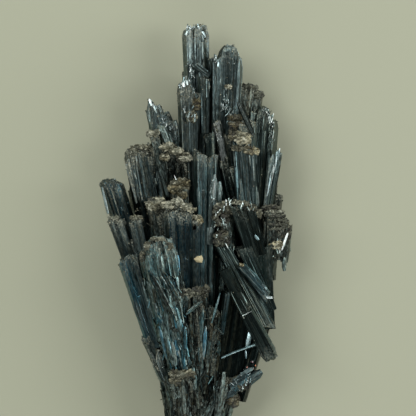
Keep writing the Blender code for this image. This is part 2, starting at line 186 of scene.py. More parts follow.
def end_drop(prism, points, share, slope):
    """How far below the tip a prism's end lies at points of its section. share is 1 at the rim."""
    x, y = points[..., 0], points[..., 1]
    if prism.end == "dome":
        return prism.width * np.interp(share, (0.42, 0.82, 1.0), (0.0, 0.16, 0.55))
    if prism.end == "point":
        return prism.width * np.interp(share, (0.3, 1.0), (0.0, 1.1))
    if prism.end == "chisel":
        return prism.width * 0.55 * np.interp(np.abs(y) / prism.depth * 2, (0.2, 1.0), (0.0, 1.0))
    return prism.width * END_MIDDLE[prism.end] - slope[0] * x - slope[1] * y


def grid_faces(rings, count, closed_by):
    """Quads between rings of points, and the fans that close them at both ends, round the two last points."""
    ring, column = np.meshgrid(np.arange(rings - 1), np.arange(count), indexing="ij")
    after = (column + 1) % count
    quads = np.stack((
        ring * count + column,
        ring * count + after,
        (ring + 1) * count + after,
        (ring + 1) * count + column,
    ), -1).reshape(-1, 4)
    column, after = np.arange(count), (np.arange(count) + 1) % count
    last = (rings - 1) * count
    foot, tip = closed_by
    fans = np.concatenate((
        np.stack((after, column, np.full(count, foot)), -1),
        np.stack((last + column, last + after, np.full(count, tip)), -1),
    ))
    return [quads, fans]


FOOT_TAPER = 0.8  # a prism's width at its foot, as a share of that at its tip
CELL_AREA = 1.7  # of one of the parallel crystals that a prism is made of, in square millimetres
CELL_TILT = 0.25  # slope of each parallel crystal's own broken top
CRUST_RELIEF = 0.7  # how far a whole crust roughens an end
LEDGE_DEPTH = 0.06, 0.35  # least and most that a face steps in
STEP_RUN = 0.1  # half the length over which it does so
SWELL = 4.0, 9.0  # over how many millimetres a ridge turns from high to low, per radian
BOW = 0.12  # how far a prism bends between its ends
TONE_STRAY = 0.05  # how far prisms, and the faces of one prism, differ in shade


def lath(heap, name, index, prism, habit, pits):
    """One prism with striated faces and a broken end. Gives points on its faces for what lies on them.

    pits are holes in its front, each with the sides, the ends as shares of the length, and the depth.
    The metal inside a hole is painted darker: painted shade over the real hole.
    """
    draw = random.Random(f"{name} {index}")
    rng = np.random.default_rng(zlib.crc32(f"{name} {index}".encode()))
    corners = section(prism.width, prism.depth, habit.broad, draw)
    steep = END_SLOPE.get(prism.end, 0.0)
    slope = draw.choice((-1, 1)) * steep, draw.uniform(-0.5, 0.5) * steep
    length = math.dist(prism.tip, prism.foot)
    base, outward, sides = columns_round(corners)
    count = len(base)

    cells = max(4, round(prism.width * prism.depth / CELL_AREA))
    sites = rng.uniform(-0.5, 0.5, (cells, 2)) * (prism.width, prism.depth)
    drops = rng.exponential(habit.ragged, cells)
    near_rim = np.abs(sites / (prism.width, prism.depth)).max(axis=1) > 0.28
    stops_low = (rng.random(cells) < habit.deep) & near_rim
    drops += stops_low * rng.uniform(0.15, 1.0, cells) * habit.deepest
    tilts = rng.normal(0.0, CELL_TILT, (cells, 2))

    def height(points, share):
        apart = points[..., None, :] - sites
        cell = np.argmin((apart**2).sum(-1), axis=-1)
        nearest = points - sites[cell]
        crusty = rng.uniform(0.0, habit.crust * CRUST_RELIEF, points.shape[:-1])
        uneven = drops[cell] + (nearest * tilts[cell]).sum(-1) + crusty
        return length - end_drop(prism, points, share, slope) - np.maximum(uneven, 0.0)

    rim = height(base, 1.0)
    ledges = []
    for _ in range(habit.ledges):
        first, span = rng.integers(count), rng.integers(2, max(3, count // 5))
        covered = (np.arange(count) - first) % count < span
        ledges.append((covered, rng.uniform(0.2, 1.0), rng.uniform(*LEDGE_DEPTH)))
    step = STEP_RUN / length
    shares = [*np.linspace(0.0, 1.0, max(6, round(length / ROW_STEP)) + 1)]
    shares += [place for _, start, _ in ledges for place in (start - step, start + step)]
    shares += [place for pit in pits for end in pit[2:4] for place in (end - step, end + step)]
    shares = np.unique(np.clip(shares, 0.0, 1.0))[:, None]
    tall = shares * rim
    edge = np.roll(sides, 1) != sides
    ridges = np.abs(rng.normal(0.0, habit.ridge, count)) * ~edge
    swell = np.sin(tall / rng.uniform(*SWELL, count) + rng.uniform(0.0, math.tau, count))
    inset = ridges * (1.0 + 0.3 * swell)
    for covered, start, deep in ledges:
        inset = inset + covered * (shares > start) * deep
    shaded_in_pit = np.zeros(tall.shape, dtype=bool)
    for left, right, low, high, deep in pits:
        across = (base[:, 0] > left) & (base[:, 0] < right) & (base[:, 1] < 0)
        inside = across & (shares > low) & (shares < high)
        inset = inset + inside * deep
        shaded_in_pit |= inside
    taper = FOOT_TAPER + (1 - FOOT_TAPER) * tall / length
    walls = base * taper[..., None] - outward * inset[..., None]

    rings = max(3, round(min(prism.width, prism.depth) / 2 / RING_STEP))
    inward = 1.0 - np.arange(1, rings) / rings
    caps = walls[-1] * inward[:, None, None]
    cap_heights = height(caps, inward[:, None])
    middle = np.zeros(2)
    flat = np.concatenate((walls.reshape(-1, 2), caps.reshape(-1, 2), [middle, middle]))
    lift = np.concatenate((tall.ravel(), cap_heights.ravel(), [0.0, height(middle, 0.0)]))
    own = np.column_stack((flat, lift))

    below_rim = np.concatenate(((rim - tall).ravel(), np.zeros(cap_heights.size), [length, 0.0]))
    reach = rng.uniform(0.5, 1.3, count) * habit.reach
    reach = np.concatenate((np.tile(reach, len(tall)), np.ones(cap_heights.size + 2)))
    crust = np.clip(np.exp(-below_rim / reach) * habit.crust * 2.0, 0.0, 1.0)
    shade = habit.shade + rng.normal(0.0, TONE_STRAY) + rng.normal(0.0, TONE_STRAY, 6)[sides]
    shade = np.tile(shade, len(tall) + len(inward))
    shade = np.concatenate((shade, [habit.shade, habit.shade]))
    # Painted shade: the metal inside a pit is made darker by a whole shade.
    shade[: shaded_in_pit.size] -= shaded_in_pit.ravel() * 1.0
    bow = rng.normal(0.0, BOW, 2)
    axes = axes_of(prism)
    bent = own + np.column_stack((np.outer(np.sin(math.pi * lift / length), bow), np.zeros(len(own))))
    points = prism.foot + bent @ axes
    faces = grid_faces(len(tall) + len(inward), count, (len(own) - 2, len(own) - 1))
    grain = own + rng.uniform(0.0, 400.0, 3)
    heap.add(points, faces, grain, habit.slot, crust=crust, tarnish=habit.tarnish, shade=shade)
    wall_points = points[: tall.size].reshape(len(tall), count, 3)
    return wall_points, np.column_stack((outward, np.zeros(count))) @ axes, points[tall.size : -2], axes[2]


# A thin crystal is four rings of this flat hexagon, at these shares of its length.
HEXAGON = np.array(((0.5, 0.0), (0.27, 0.5), (-0.27, 0.5), (-0.5, 0.0), (-0.27, -0.5), (0.27, -0.5)))
SLIVER_RINGS = np.array((0.0, 0.35, 0.8, 1.0))
SLIVER_WALL = np.array([
    (6 * ring + k, 6 * ring + (k + 1) % 6, 6 * ring + 6 + (k + 1) % 6, 6 * ring + 6 + k)
    for ring in range(3)
    for k in range(6)
])
SLIVER_ENDS = np.array([(5, 4, 3, 2, 1, 0), (18, 19, 20, 21, 22, 23)])


def slivers(heap, rng, starts, ends, widths, depths, faced, tip=0.35, slot=0, **marks):
    """Many thin crystals. faced is the way that the flat side of each looks, and tip how wide its end is."""
    number = len(starts)
    along = unit(ends - starts)
    across = unit(np.cross(along, faced))
    through = np.cross(along, across)
    sizes = np.stack((
        np.full(number, 0.6),
        np.full(number, 1.0),
        rng.uniform(0.8, 1.0, number),
        rng.uniform(0.2, 1.8, number) * tip,
    ), 1)
    flat = HEXAGON[None, None] * np.stack((widths, depths), -1)[:, None, None] * sizes[:, :, None, None]
    slant = rng.normal(0.0, 0.5, (number, 1)) * widths[:, None] * HEXAGON[:, 0]
    lengths = np.linalg.norm(ends - starts, axis=1)
    lift = lengths[:, None, None] * SLIVER_RINGS[None, :, None] * np.ones((1, 1, 6))
    lift[:, -2] += slant
    own = np.concatenate((flat, lift[..., None]), -1)
    axes = np.stack((across, through, along), 1)
    points = starts[:, None, None] + np.einsum("nrki,nij->nrkj", own, axes)
    grain = own + rng.uniform(0.0, 400.0, (number, 1, 1, 3))
    first = np.arange(number)[:, None, None] * 24
    faces = [(SLIVER_WALL + first).reshape(-1, 4), (SLIVER_ENDS + first).reshape(-1, 6)]
    marks = {mark: np.repeat(np.broadcast_to(value, number), 24) for mark, value in marks.items()}
    heap.add(points.reshape(-1, 3), faces, grain.reshape(-1, 3), slot, **marks)


# A grain is an uneven icosahedron.
GOLDEN = (1 + 5**0.5) / 2
CRUMB = unit(np.array([
    (-1, GOLDEN, 0), (1, GOLDEN, 0), (-1, -GOLDEN, 0), (1, -GOLDEN, 0), (0, -1, GOLDEN), (0, 1, GOLDEN),
    (0, -1, -GOLDEN), (0, 1, -GOLDEN), (GOLDEN, 0, -1), (GOLDEN, 0, 1), (-GOLDEN, 0, -1), (-GOLDEN, 0, 1),
]))
CRUMB_FACES = np.array([
    (0, 11, 5), (0, 5, 1), (0, 1, 7), (0, 7, 10), (0, 10, 11), (1, 5, 9), (5, 11, 4), (11, 10, 2), (10, 7, 6),
    (7, 1, 8), (3, 9, 4), (3, 4, 2), (3, 2, 6), (3, 6, 8), (3, 8, 9), (4, 9, 5), (2, 4, 11), (6, 2, 10),
    (8, 6, 7), (9, 8, 1),
])


def crumbs(heap, rng, centres, sizes, slot, shade=0.5, tarnish=0.0):
    """Many angular grains at once. Each size is one number or one for each axis."""
    number = len(centres)
    stretch = rng.uniform(0.7, 1.2, (number, 1, 3)) * np.reshape(sizes, (number, 1, -1)) / 2
    points = CRUMB * rng.uniform(0.7, 1.15, (number, 12, 1)) * stretch
    points = (points + np.reshape(centres, (number, 1, 3))).reshape(-1, 3)
    faces = (CRUMB_FACES + np.arange(number)[:, None, None] * 12).reshape(-1, 3)
    shade, tarnish = (np.repeat(np.broadcast_to(value, number), 12) for value in (shade, tarnish))
    heap.add(points, [faces], points, slot, crust=0.2, tarnish=tarnish, shade=shade)


def spots_on(rng, face_points, column, low=0.0, high=1.0, rise=1.0):
    """Random points of a prism's faces, at the columns and between two shares of its length.

    A rise below 1 brings them nearer to the tip.
    """
    up = np.linalg.norm(face_points[:, 0] - face_points[0, 0], axis=1)
    place = (low + (high - low) * rng.random(len(column)) ** rise) * up[-1]
    row = np.interp(place, up, np.arange(len(up)))
    under = np.minimum(row.astype(int), len(up) - 2)
    part = (row - under)[:, None]
    return face_points[under, column] * (1 - part) + face_points[under + 1, column] * part


SPLINTER_LENGTH, SPLINTER_WIDTH = (2.5, 16.0), (0.35, 1.6)
SHORTEST_SPLINTER = 1.2  # after it is cut to end below the prism's rim
SUNK = 0.12  # how deep splinters and grains sit


def splinters(heap, rng, face_points, outward, along, habit, number):
    """Thin crystals half sunk in a prism's faces and nearly parallel to it."""
    column = rng.integers(0, face_points.shape[1], number)
    long = rng.uniform(*SPLINTER_LENGTH, number)
    start = spots_on(rng, face_points, column) - outward[column] * SUNK
    room = np.linalg.norm(face_points[-1, column] - start, axis=1)
    long = np.minimum(long, room * rng.uniform(0.7, 1.0, number))
    end = start + unit(along + rng.normal(0.0, 0.015, (number, 3))) * long[:, None]
    keep = long > SHORTEST_SPLINTER
    wide = rng.uniform(*SPLINTER_WIDTH, number)[keep]
    slivers(
        heap, rng, start[keep], end[keep], wide, wide * 0.35, outward[column][keep], slot=habit.slot,
        crust=habit.crust * rng.uniform(0.0, 0.5, keep.sum()),
        tarnish=habit.tarnish * rng.uniform(0.0, 1.4, keep.sum()),
        shade=habit.shade + rng.normal(0.0, 0.12, keep.sum()),
    )


METAL_SHARE = 0.25  # of the grains


def grains_on(heap, rng, places, size, pale):
    """Grains of crust at the places. Some are broken stibnite."""
    places = places + rng.normal(0.0, SUNK, places.shape)
    metal = rng.random(len(places)) < METAL_SHARE
    sizes = rng.uniform(0.4, 1.0, len(places)) ** 2 * size
    for chosen, slot, ochre in ((~metal, CRUST_SLOT, 0.4), (metal, 0, 0.0)):
        if chosen.any():
            toned = pale + rng.uniform(-0.3, 0.3, chosen.sum())
            crumbs(heap, rng, places[chosen], sizes[chosen], slot, toned, ochre)


END_GRAINS, END_STUBS = 60, 12  # on a whole crust of 12 mm2
END_GRAIN_SIZE = 0.6


def crusted_end(heap, rng, face_points, outward, cap, along, habit, amount):
    """Grains and short stubs that cover a broken end and come down its faces."""
    number = int(amount * END_GRAINS)
    on_cap = cap[rng.integers(0, len(cap), number)] - along * SUNK
    column = rng.integers(0, len(outward), number)
    below = rng.exponential(habit.reach * 0.6, number)[:, None]
    down = face_points[-1, column] - along * below
    grains_on(heap, rng, np.concatenate((on_cap, down)), END_GRAIN_SIZE, habit.pale)
    stubs = int(amount * END_STUBS)
    end = cap[rng.integers(0, len(cap), stubs)] + along * rng.uniform(-0.3, 0.5, (stubs, 1))
    start = end - unit(along + rng.normal(0.0, 0.12, (stubs, 3))) * rng.uniform(1.5, 3.4, (stubs, 1))
    wide = rng.uniform(0.5, 1.5, stubs)
    deep = wide * rng.uniform(0.5, 1.0, stubs)
    slivers(
        heap, rng, start, end, wide, deep, rng.normal(0.0, 1.0, (stubs, 3)), 0.9,
        crust=rng.uniform(0.2, 1.0, stubs), tarnish=0.0, shade=rng.uniform(0.2, 0.9, stubs),
    )


WIDEST_PLATE = 2.4
PLATES, GRAINS = 3.5, 0.5  # for an area of crust of one plate, and of 1 mm2


def rubble(heap, rng, centre, size, pale, ochre):
    """A crust heap: broken plates that lie roughly across the fan, sunk into one another, under grains."""
    area = 2.6 * (size[0] * size[1] + size[1] * size[2] + size[0] * size[2]) / 3
    biggest = min(WIDEST_PLATE, 0.8 * min(size))
    number = int(PLATES * area / biggest**2)
    way = unit(rng.normal(0.0, 1.0, (number, 3)))
    way = np.sign(way) * np.abs(way) ** 0.8
    wide = rng.uniform(0.35, 1.0, number) * biggest
    places = way * np.array(size) / 2 - way * wide[:, None] * 0.5 + centre
    half = unit(rng.normal((1.0, 0.0, 0.0), (0.3, 0.45, 0.4), (number, 3))) * wide[:, None] * 0.8
    faced = way + rng.normal(0.0, 0.5, (number, 3))
    slivers(
        heap, rng, places - half, places + half, wide, wide * 0.4, faced, 0.9, CRUST_SLOT, crust=0.2,
        tarnish=ochre * rng.uniform(0.2, 1.4, number), shade=pale + rng.uniform(-0.5, 0.3, number),
    )
    number = int(area * GRAINS)
    places = unit(rng.normal(0.0, 1.0, (number, 3))) * np.array(size) / 2 + centre
    shade = pale + rng.uniform(-0.35, 0.15, number)
    crumbs(heap, rng, places, rng.uniform(0.3, 0.7, number), CRUST_SLOT, shade, ochre)


GLINT_FILM = 0.2  # tarnish on the glints


def glitter(heap, rng, start, end, spread, number):
    """Bright broken crystals along a line: small grains, and needles that point roughly along the fan.
    Their light metal, near white at the brightest, is painted glint; their facets also catch the lamps.
    """
    places = start + np.subtract(end, start) * rng.random((number, 1))
    places = places + rng.normal(0.0, spread, (number, 3)) * (1, 1, 0.3)
    crumbs(heap, rng, places, rng.uniform(0.3, 0.9, number), 0, rng.uniform(0.3, 1.5, number), GLINT_FILM)
    half = unit(rng.normal((0.0, 1.0, 0.0), (0.45, 0.1, 0.2), (number, 3)))
    half = half * rng.uniform(0.3, 1.3, (number, 1))
    wide = rng.uniform(0.2, 0.5, number)
    faced = rng.normal((0.0, 0.0, 1.0), 0.4, (number, 3))
    slivers(
        heap, rng, places - half, places + half, wide, wide * 0.5, faced, 0.8, crust=0.0,
        tarnish=GLINT_FILM * rng.uniform(0.0, 2.0, number), shade=rng.uniform(0.5, 1.5, number),
    )


# Blades over a matted face: the share of them, their lengths and widths, and how far they stray from the way
# of the fan.
FELT = (
    (0.25, (5.0, 15.0), (1.0, 2.2), 0.07),
    (0.3, (2.5, 7.0), (0.4, 1.0), 0.3),
    (0.45, (1.2, 4.0), (0.2, 0.5), 0.7),
)


def felt(heap, rng, face_points, outward, along, habit, number):
    """Blades that lie over a matted face: a few broad ones along the fan, and many fine ones every way."""
    facing = np.flatnonzero(outward[:, 2] > -0.3)
    for share, lengths, widths, spread in FELT:
        some = int(number * share)
        column = rng.choice(facing, some)
        wide = rng.uniform(*widths, some)
        middle = spots_on(rng, face_points, column, 0.04, 0.85)
        middle = middle + outward[column] * rng.uniform(-0.4, 0.5, (some, 1)) * wide[:, None]
        half = unit(along + rng.normal(0.0, spread, (some, 3)))
        half = half * (rng.uniform(*lengths, some)[:, None] / 2)
        faced = unit(outward[column] + rng.normal(0.0, 0.35, (some, 3)))
        slivers(
            heap, rng, middle - half, middle + half, wide, wide * rng.uniform(0.3, 0.6, some), faced, 0.5,
            crust=habit.crust * rng.uniform(0.0, 1.0, some) ** 2,
            tarnish=habit.tarnish * rng.uniform(0.0, 1.6, some),
            shade=habit.shade + np.minimum(rng.normal(-0.03, 0.3, some), 0.32),
        )


def linear(hexes):
    """A colour written as sRGB hex, such as 5a6468, as the linear values that a shader takes."""
    values = [int(hexes[k : k + 2], 16) / 255 for k in (0, 2, 4)]
    return (*[v / 12.92 if v <= 0.04045 else ((v + 0.055) / 1.055) ** 2.4 for v in values], 1.0)


def node(material, kind, settings, out=0, **links):
    """Adds a shader node and gives one of its outputs.

    settings are its properties, its unlinked sockets, and the stops of a ramp as (place, sRGB hex). links
    are the outputs that feed its inputs, by name, or by number after an underscore. None makes no link.
    """
    made = material.node_tree.nodes.new("ShaderNode" + kind)
    for key, value in settings.items():
        if key == "stops":
            elements = made.color_ramp.elements
            while len(elements) < len(value):
                elements.new(0.5)
            for element, (place, hexes) in zip(elements, value):
                element.position = place
                element.color = linear(hexes)
        elif isinstance(key, int) or key in made.inputs:
            made.inputs[key].default_value = value
        else:
            setattr(made, key, value)
    for key, output in links.items():
        if output is not None:
            material.node_tree.links.new(output, made.inputs[int(key[1:]) if key[0] == "_" else key])
    return made.outputs[out]


# The patterns of stibnite, with their real sizes across and along the prism. Striations are 0.1 to 0.6 mm
# apart and run the whole prism: the finest are drawn at 0.4 mm to show.
STIBNITE_PATTERNS = {
    "broad": {"across": 1.1, "along": 90.0, "detail": 0.0},
    "fine": {"across": 0.4, "along": 60.0, "detail": 1.0},
    "patch": {"across": 2.6, "along": 9.0, "detail": 4.0},
    "grit": {"across": 0.5, "along": 0.6, "detail": 3.0},
    "speck": {"across": 0.5, "along": 1.4, "detail": 2.0},
}
LINE_RELIEF, GRIT_RELIEF = 0.2 * MM, 0.4 * MM


def stibnite(name, dark, body, light, rough, speckle, soil):
    """Stibnite, a lead-grey metallic sulphide with faces striated along the prism by growth.

    The striations draw it out in long, silky streaks from dark to light. Over them lie a thin blue film of
    tarnish, clay in the hollows, and earthy oxide where a point is marked as crusted.
    """
    material = bpy.data.materials.new(name)
    material.use_nodes = True
    links = material.node_tree.links
    shader = material.node_tree.nodes["Principled BSDF"]
    grain = node(material, "Attribute", {"attribute_name": "grain"}, "Vector")
    crust = node(material, "Attribute", {"attribute_name": "crust"}, "Fac")
    tarnish = node(material, "Attribute", {"attribute_name": "tarnish"}, "Fac")
    shade = node(material, "Attribute", {"attribute_name": "shade"}, "Fac")
    noise = {}
    for pattern, size in STIBNITE_PATTERNS.items():
        repeats = 1 / size["across"], 1 / size["across"], 1 / size["along"]
        place = node(material, "VectorMath", {"operation": "MULTIPLY", 1: repeats}, _0=grain)
        noise[pattern] = node(material, "TexNoise", {"Scale": 1.0, "Detail": size["detail"]}, Vector=place)

    streak = node(material, "Mix", {0: 0.4}, _2=noise["fine"], _3=noise["broad"])
    tone = None
    for output, weight in (
        (streak, 0.3), (shade, 0.42), (noise["patch"], 0.12), (tarnish, 0.12), (noise["speck"], speckle),
    ):
        settings = {"operation": "MULTIPLY_ADD", 1: weight, 2: 0.1 - speckle / 2}
        tone = node(material, "Math", settings, _0=output, _2=tone)
    # The last stop, near white, is reached mainly where shade is above 1. It paints highlights and glints
    # onto the metal, over what the lamps give.
    stops = (0.3, dark), (0.51, body), (0.78, light), (1.0, "eef3f0")
    metal = node(material, "ValToRGB", {"stops": stops}, Fac=tone)

    blotch = node(material, "Mix", {0: 0.5}, _2=noise["patch"], _3=noise["fine"])
    filmed = node(material, "MapRange", {"From Min": 0.42, "From Max": 0.54}, Value=blotch)
    filmed = node(material, "Math", {"operation": "MULTIPLY", "use_clamp": True}, _0=tarnish, _1=filmed)
    thick = node(material, "Math", {"operation": "MULTIPLY_ADD", 1: 0.4, 2: 0.0}, _0=tarnish)
    thick = node(material, "Math", {"operation": "MULTIPLY_ADD", 1: 0.2}, _0=noise["patch"], _2=thick)
    stops = (0.15, "c0dce0"), (0.36, "8ccada"), (0.6, "6eb2d2"), (0.82, "949ccc"), (0.97, "ff9a58")
    film = node(material, "ValToRGB", {"stops": stops}, Fac=thick)
    colour = node(
        material, "Mix", {"data_type": "RGBA", "blend_type": "MULTIPLY"}, 2, _0=filmed, _6=metal, _7=film,
    )

    hollow = node(material, "Mix", {0: 0.5}, _2=noise["grit"], _3=noise["broad"])
    soiled = node(material, "MapRange", {"From Min": 0.51, "From Max": 0.6, "To Max": soil}, Value=hollow)
    clay = node(material, "ValToRGB", {"stops": ((0.35, "2c2a1e"), (0.6, "6a6244"))}, Fac=noise["speck"])
    colour = node(material, "Mix", {"data_type": "RGBA"}, 2, _0=soiled, _6=colour, _7=clay)

    rusty = node(material, "MapRange", {"From Min": 0.3, "From Max": 0.6}, Value=noise["grit"])
    rusty = node(material, "Math", {"operation": "MULTIPLY", "use_clamp": True}, _0=crust, _1=rusty)
    stops = (0.3, "2e3028"), (0.5, "696b5c"), (0.68, "abae9e")
    oxide = node(material, "ValToRGB", {"stops": stops}, Fac=noise["grit"])
    colour = node(material, "Mix", {"data_type": "RGBA"}, 2, _0=rusty, _6=colour, _7=oxide)
    links.new(colour, shader.inputs["Base Color"])

    metallic = node(material, "MapRange", {"To Min": 1.0, "To Max": 0.35}, Value=rusty)
    links.new(metallic, shader.inputs["Metallic"])
    smooth = {"From Min": 0.3, "From Max": 0.7, "To Min": rough - 0.08, "To Max": rough + 0.12}
    smooth = node(material, "MapRange", smooth, Value=streak)
    dull = node(material, "Math", {"operation": "MULTIPLY_ADD", 1: 0.35}, _0=rusty, _2=smooth)
    links.new(dull, shader.inputs["Roughness"])
    lines = node(material, "Bump", {"Strength": 1.0, "Distance": LINE_RELIEF}, Height=streak)
    grains = node(
        material, "Bump", {"Distance": GRIT_RELIEF}, Strength=rusty, Height=noise["grit"], Normal=lines,
    )
    links.new(grains, shader.inputs["Normal"])
    return material


# Stibiconite and clay, left where the ends weathered: dull, earthy plates and grains, grey or stained ochre.
oxide_crust = bpy.data.materials.new("oxide_crust")
oxide_crust.use_nodes = True
OXIDE_GRAIN = 0.7  # millimetres between its lumps
earth = oxide_crust.node_tree.nodes["Principled BSDF"]
earth.inputs["Roughness"].default_value = 0.6
earth.inputs["Metallic"].default_value = 0.25
place = node(oxide_crust, "Attribute", {"attribute_name": "grain"}, "Vector")
place = node(oxide_crust, "VectorMath", {"operation": "MULTIPLY", 1: (1 / OXIDE_GRAIN,) * 3}, _0=place)
grit = node(oxide_crust, "TexNoise", {"Scale": 1.0, "Detail": 4.0}, Vector=place)
paleness = node(oxide_crust, "Attribute", {"attribute_name": "shade"}, "Fac")
paleness = node(oxide_crust, "Math", {"operation": "MULTIPLY_ADD", 1: 0.5}, _0=paleness, _2=grit)
stops = (0.36, "1c1e19"), (0.6, "41453a"), (0.82, "6a6e60"), (1.0, "a8aa9a")
grey = node(oxide_crust, "ValToRGB", {"stops": stops}, Fac=paleness)
stops = (0.36, "201e14"), (0.6, "4e4830"), (0.82, "787052"), (1.0, "b6ae8a")
ochre = node(oxide_crust, "ValToRGB", {"stops": stops}, Fac=paleness)
stained = node(oxide_crust, "Attribute", {"attribute_name": "tarnish"}, "Fac")
stained = node(oxide_crust, "Mix", {"data_type": "RGBA"}, 2, _0=stained, _6=grey, _7=ochre)
oxide_crust.node_tree.links.new(stained, earth.inputs["Base Color"])
lumpy = node(oxide_crust, "Bump", {"Strength": 0.8, "Distance": 0.3 * MM}, Height=grit)
oxide_crust.node_tree.links.new(lumpy, earth.inputs["Normal"])

# The material of each slot. Matted stibnite is felted needles: rough, mottled and half earthy. Striated
# stibnite is a grown face, silky and lead grey. Tarnished stibnite is such a face, darker under a blue film.
FINISHES = {
    "matted_stibnite": stibnite(
        "matted_stibnite", "0e1110", "414a47", "90a5a0", rough=0.38, speckle=0.9, soil=0.36
    ),
    "stibnite": stibnite(
        "striated_stibnite", "1b2222", "4a5655", "93a5a4", rough=0.32, speckle=0.4, soil=0.32
    ),
    "blue_stibnite": stibnite(
        "tarnished_stibnite", "151c1e", "3d4c4f", "8a9e9e", rough=0.3, speckle=0.4, soil=0.35
    ),
}


def placed(name, slot, heap):
    """Makes the piece of a heap, puts it on the root body in place of its CAD node, and gives its finish."""
    piece = bpy.data.objects.new(name + "_crystal", heap.mesh(name))
    bpy.context.scene.collection.objects.link(piece)
    last_slot = np.concatenate(heap.slots).max()
    for material in (FINISHES[slot], oxide_crust, FINISHES.get("dark_stibnite"))[: last_slot + 1]:
        piece.data.materials.append(material)
    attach(piece, "root")
    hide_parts(name)


MOST_CRUST = 4.0  # that one end can have, in whole crusts of 12 mm2
WHOLE_CRUST = 12.0
DUST_SIZE = 0.5
TO_KEY = (-0.27, 0.2, 0.93)  # a face that looks this way mirrors the key light to the camera


def grown(name, slot, prisms, habit, felted=0, crusts=(), chips=(), blades=(), glints=(), pits=()):
    """A crystal: its prisms, the thin crystals and the felt on each, and what lies on them.

    crusts are heaps of crust as (centre, size, paleness, ochre), chips are broken pieces as (centre, size,
    shade, tarnish), blades are (start, end, width, shade, tarnish), and glints are (start, end, spread,
    number). A blade lighter than 1 is turned to mirror the key light and is painted near white: a painted
    highlight on a facet that also catches the key.
    """
    heap = Heap()
    rng = np.random.default_rng(zlib.crc32(name.encode()))
    for index, prism in enumerate(prisms):
        own = prism.habit or habit
        walls, outward, cap, along = lath(heap, name, index, prism, own, pits)
        area = 2 * (prism.width + prism.depth) * math.dist(prism.tip, prism.foot)
        splinters(heap, rng, walls, outward, along, own, int(area * own.splinters / 100))
        if felted:
            felt(heap, rng, walls, outward, along, own, felted)
        amount = min(own.crust * prism.width * prism.depth / WHOLE_CRUST, MOST_CRUST)
        crusted_end(heap, rng, walls, outward, cap, along, own, amount)
        column = rng.integers(0, len(outward), int(area * own.dust / 100))
        grains_on(heap, rng, spots_on(rng, walls, column, rise=0.5), DUST_SIZE, own.pale)
    for centre, size, pale, ochre in crusts:
        rubble(heap, rng, centre, size, pale, ochre)
    for centre, size, shade, tarnish in chips:
        crumbs(heap, rng, [centre], size, 0, shade, tarnish)
    for start, end, wide, shade, tarnish in blades:
        # Blades lighter than 1 are painted highlights: near white, and turned to mirror the key.
        faced = TO_KEY if shade > 1 else (0.0, 0.0, 1.0)
        start, end, faced, wide = np.array([start]), np.array([end]), np.array([faced]), np.array([wide])
        slivers(heap, rng, start, end, wide, wide * 0.4, faced, crust=0.1, tarnish=tarnish, shade=shade)
    for start, end, spread, number in glints:
        glitter(heap, rng, start, end, spread, number)
    placed(name, slot, heap)


matted = Habit(ragged=0.5, deep=0.25, crust=0.35, tarnish=0.25, shade=0.4, dust=4.0)
grown(
    "root_mass", "matted_stibnite",
    [
        Prism((-2, -43, 13.6), (-0.5, -67.2, 6.6), 17, 17.8, "dome"),
        Prism((-8.5, -47.5, 12.5), (-4.5, -67.6, 10), 7, 11, "broken"),
        Prism((8.5, -46, 12), (4, -67, 9), 13, 13, "broken"),
        Prism((-5, -46, 19), (-3, -66.5, 14.5), 10.5, 6.5, "broken"),
    ],
    matted._replace(shade=0.32, tarnish=0.3, dust=14), felted=380,
    crusts=[((-4.6, -46.8, 22), (8.6, 3.2, 3), 0.45, 0.4), ((-6.6, -49, 21.6), (4, 4, 2.4), 0.35, 0.4)],
)

small = Habit(ragged=0.4, deep=0.2, deepest=3.0, crust=0.35, tarnish=0.2)
grown(
    "lower_left_blades", "stibnite",
    [
        Prism((-17.4, -33.6, 17.6), (-9.6, -50, 14), 3.2, 4, "cleaved", 20),
        Prism((-15, -41.4, 17), (-7.7, -56, 14.5), 2.4, 3.6, "cleaved"),
        Prism((-13, -39, 18.5), (-8, -53, 15), 2.6, 4, "point", -20),
        Prism((-16.2, -37, 17.6), (-9, -52, 14.4), 1.8, 3, "point"),
    ],
    small._replace(shade=0.6),
)
grown(
    "lower_right_blades", "blue_stibnite",
    [
        Prism((21.7, -46.2, 12.5), (12.5, -55, 12), 3.4, 3, "cleaved"),
        Prism((18.4, -46, 13.5), (11.5, -53, 12.5), 3.4, 3.2, "cleaved"),
        Prism((18.3, -51.6, 12), (10.5, -57, 11.5), 3, 3.4, "broken"),
    ],
    small._replace(tarnish=0.45, shade=0.6),
    crusts=[((12, -55.6, 15.2), (5, 5, 3), 0.1, 0.9), ((14.4, -50.4, 16), (6.4, 5.4, 3), 0.15, 0.3)],
    blades=[
        ((11.6, -51.6, 16.8), (17.6, -47.4, 16.8), 3.4, 0.45, 0.6),
        ((15, -51.6, 16.2), (22, -46.4, 15.2), 3.4, 0.55, 0.5),
        ((13, -53, 16.8), (17, -48.6, 17.4), 1.6, 0.8, 0.8),
        ((10, -55, 16.4), (14.6, -51.4, 16.6), 2.6, 0.35, 0.4),
        ((15, -47.6, 17.2), (19.4, -45, 16.6), 1.4, 1, 0.5),
    ],
    glints=[((12.4, -53, 17.2), (18.6, -47.6, 16.8), 1.2, 30)],
)

# Matted front masses
# Bundles of fine blades that are felted together, with blue tarnish between them and an earthy crust on top.
# They stand in front of the prisms and hide where those start.

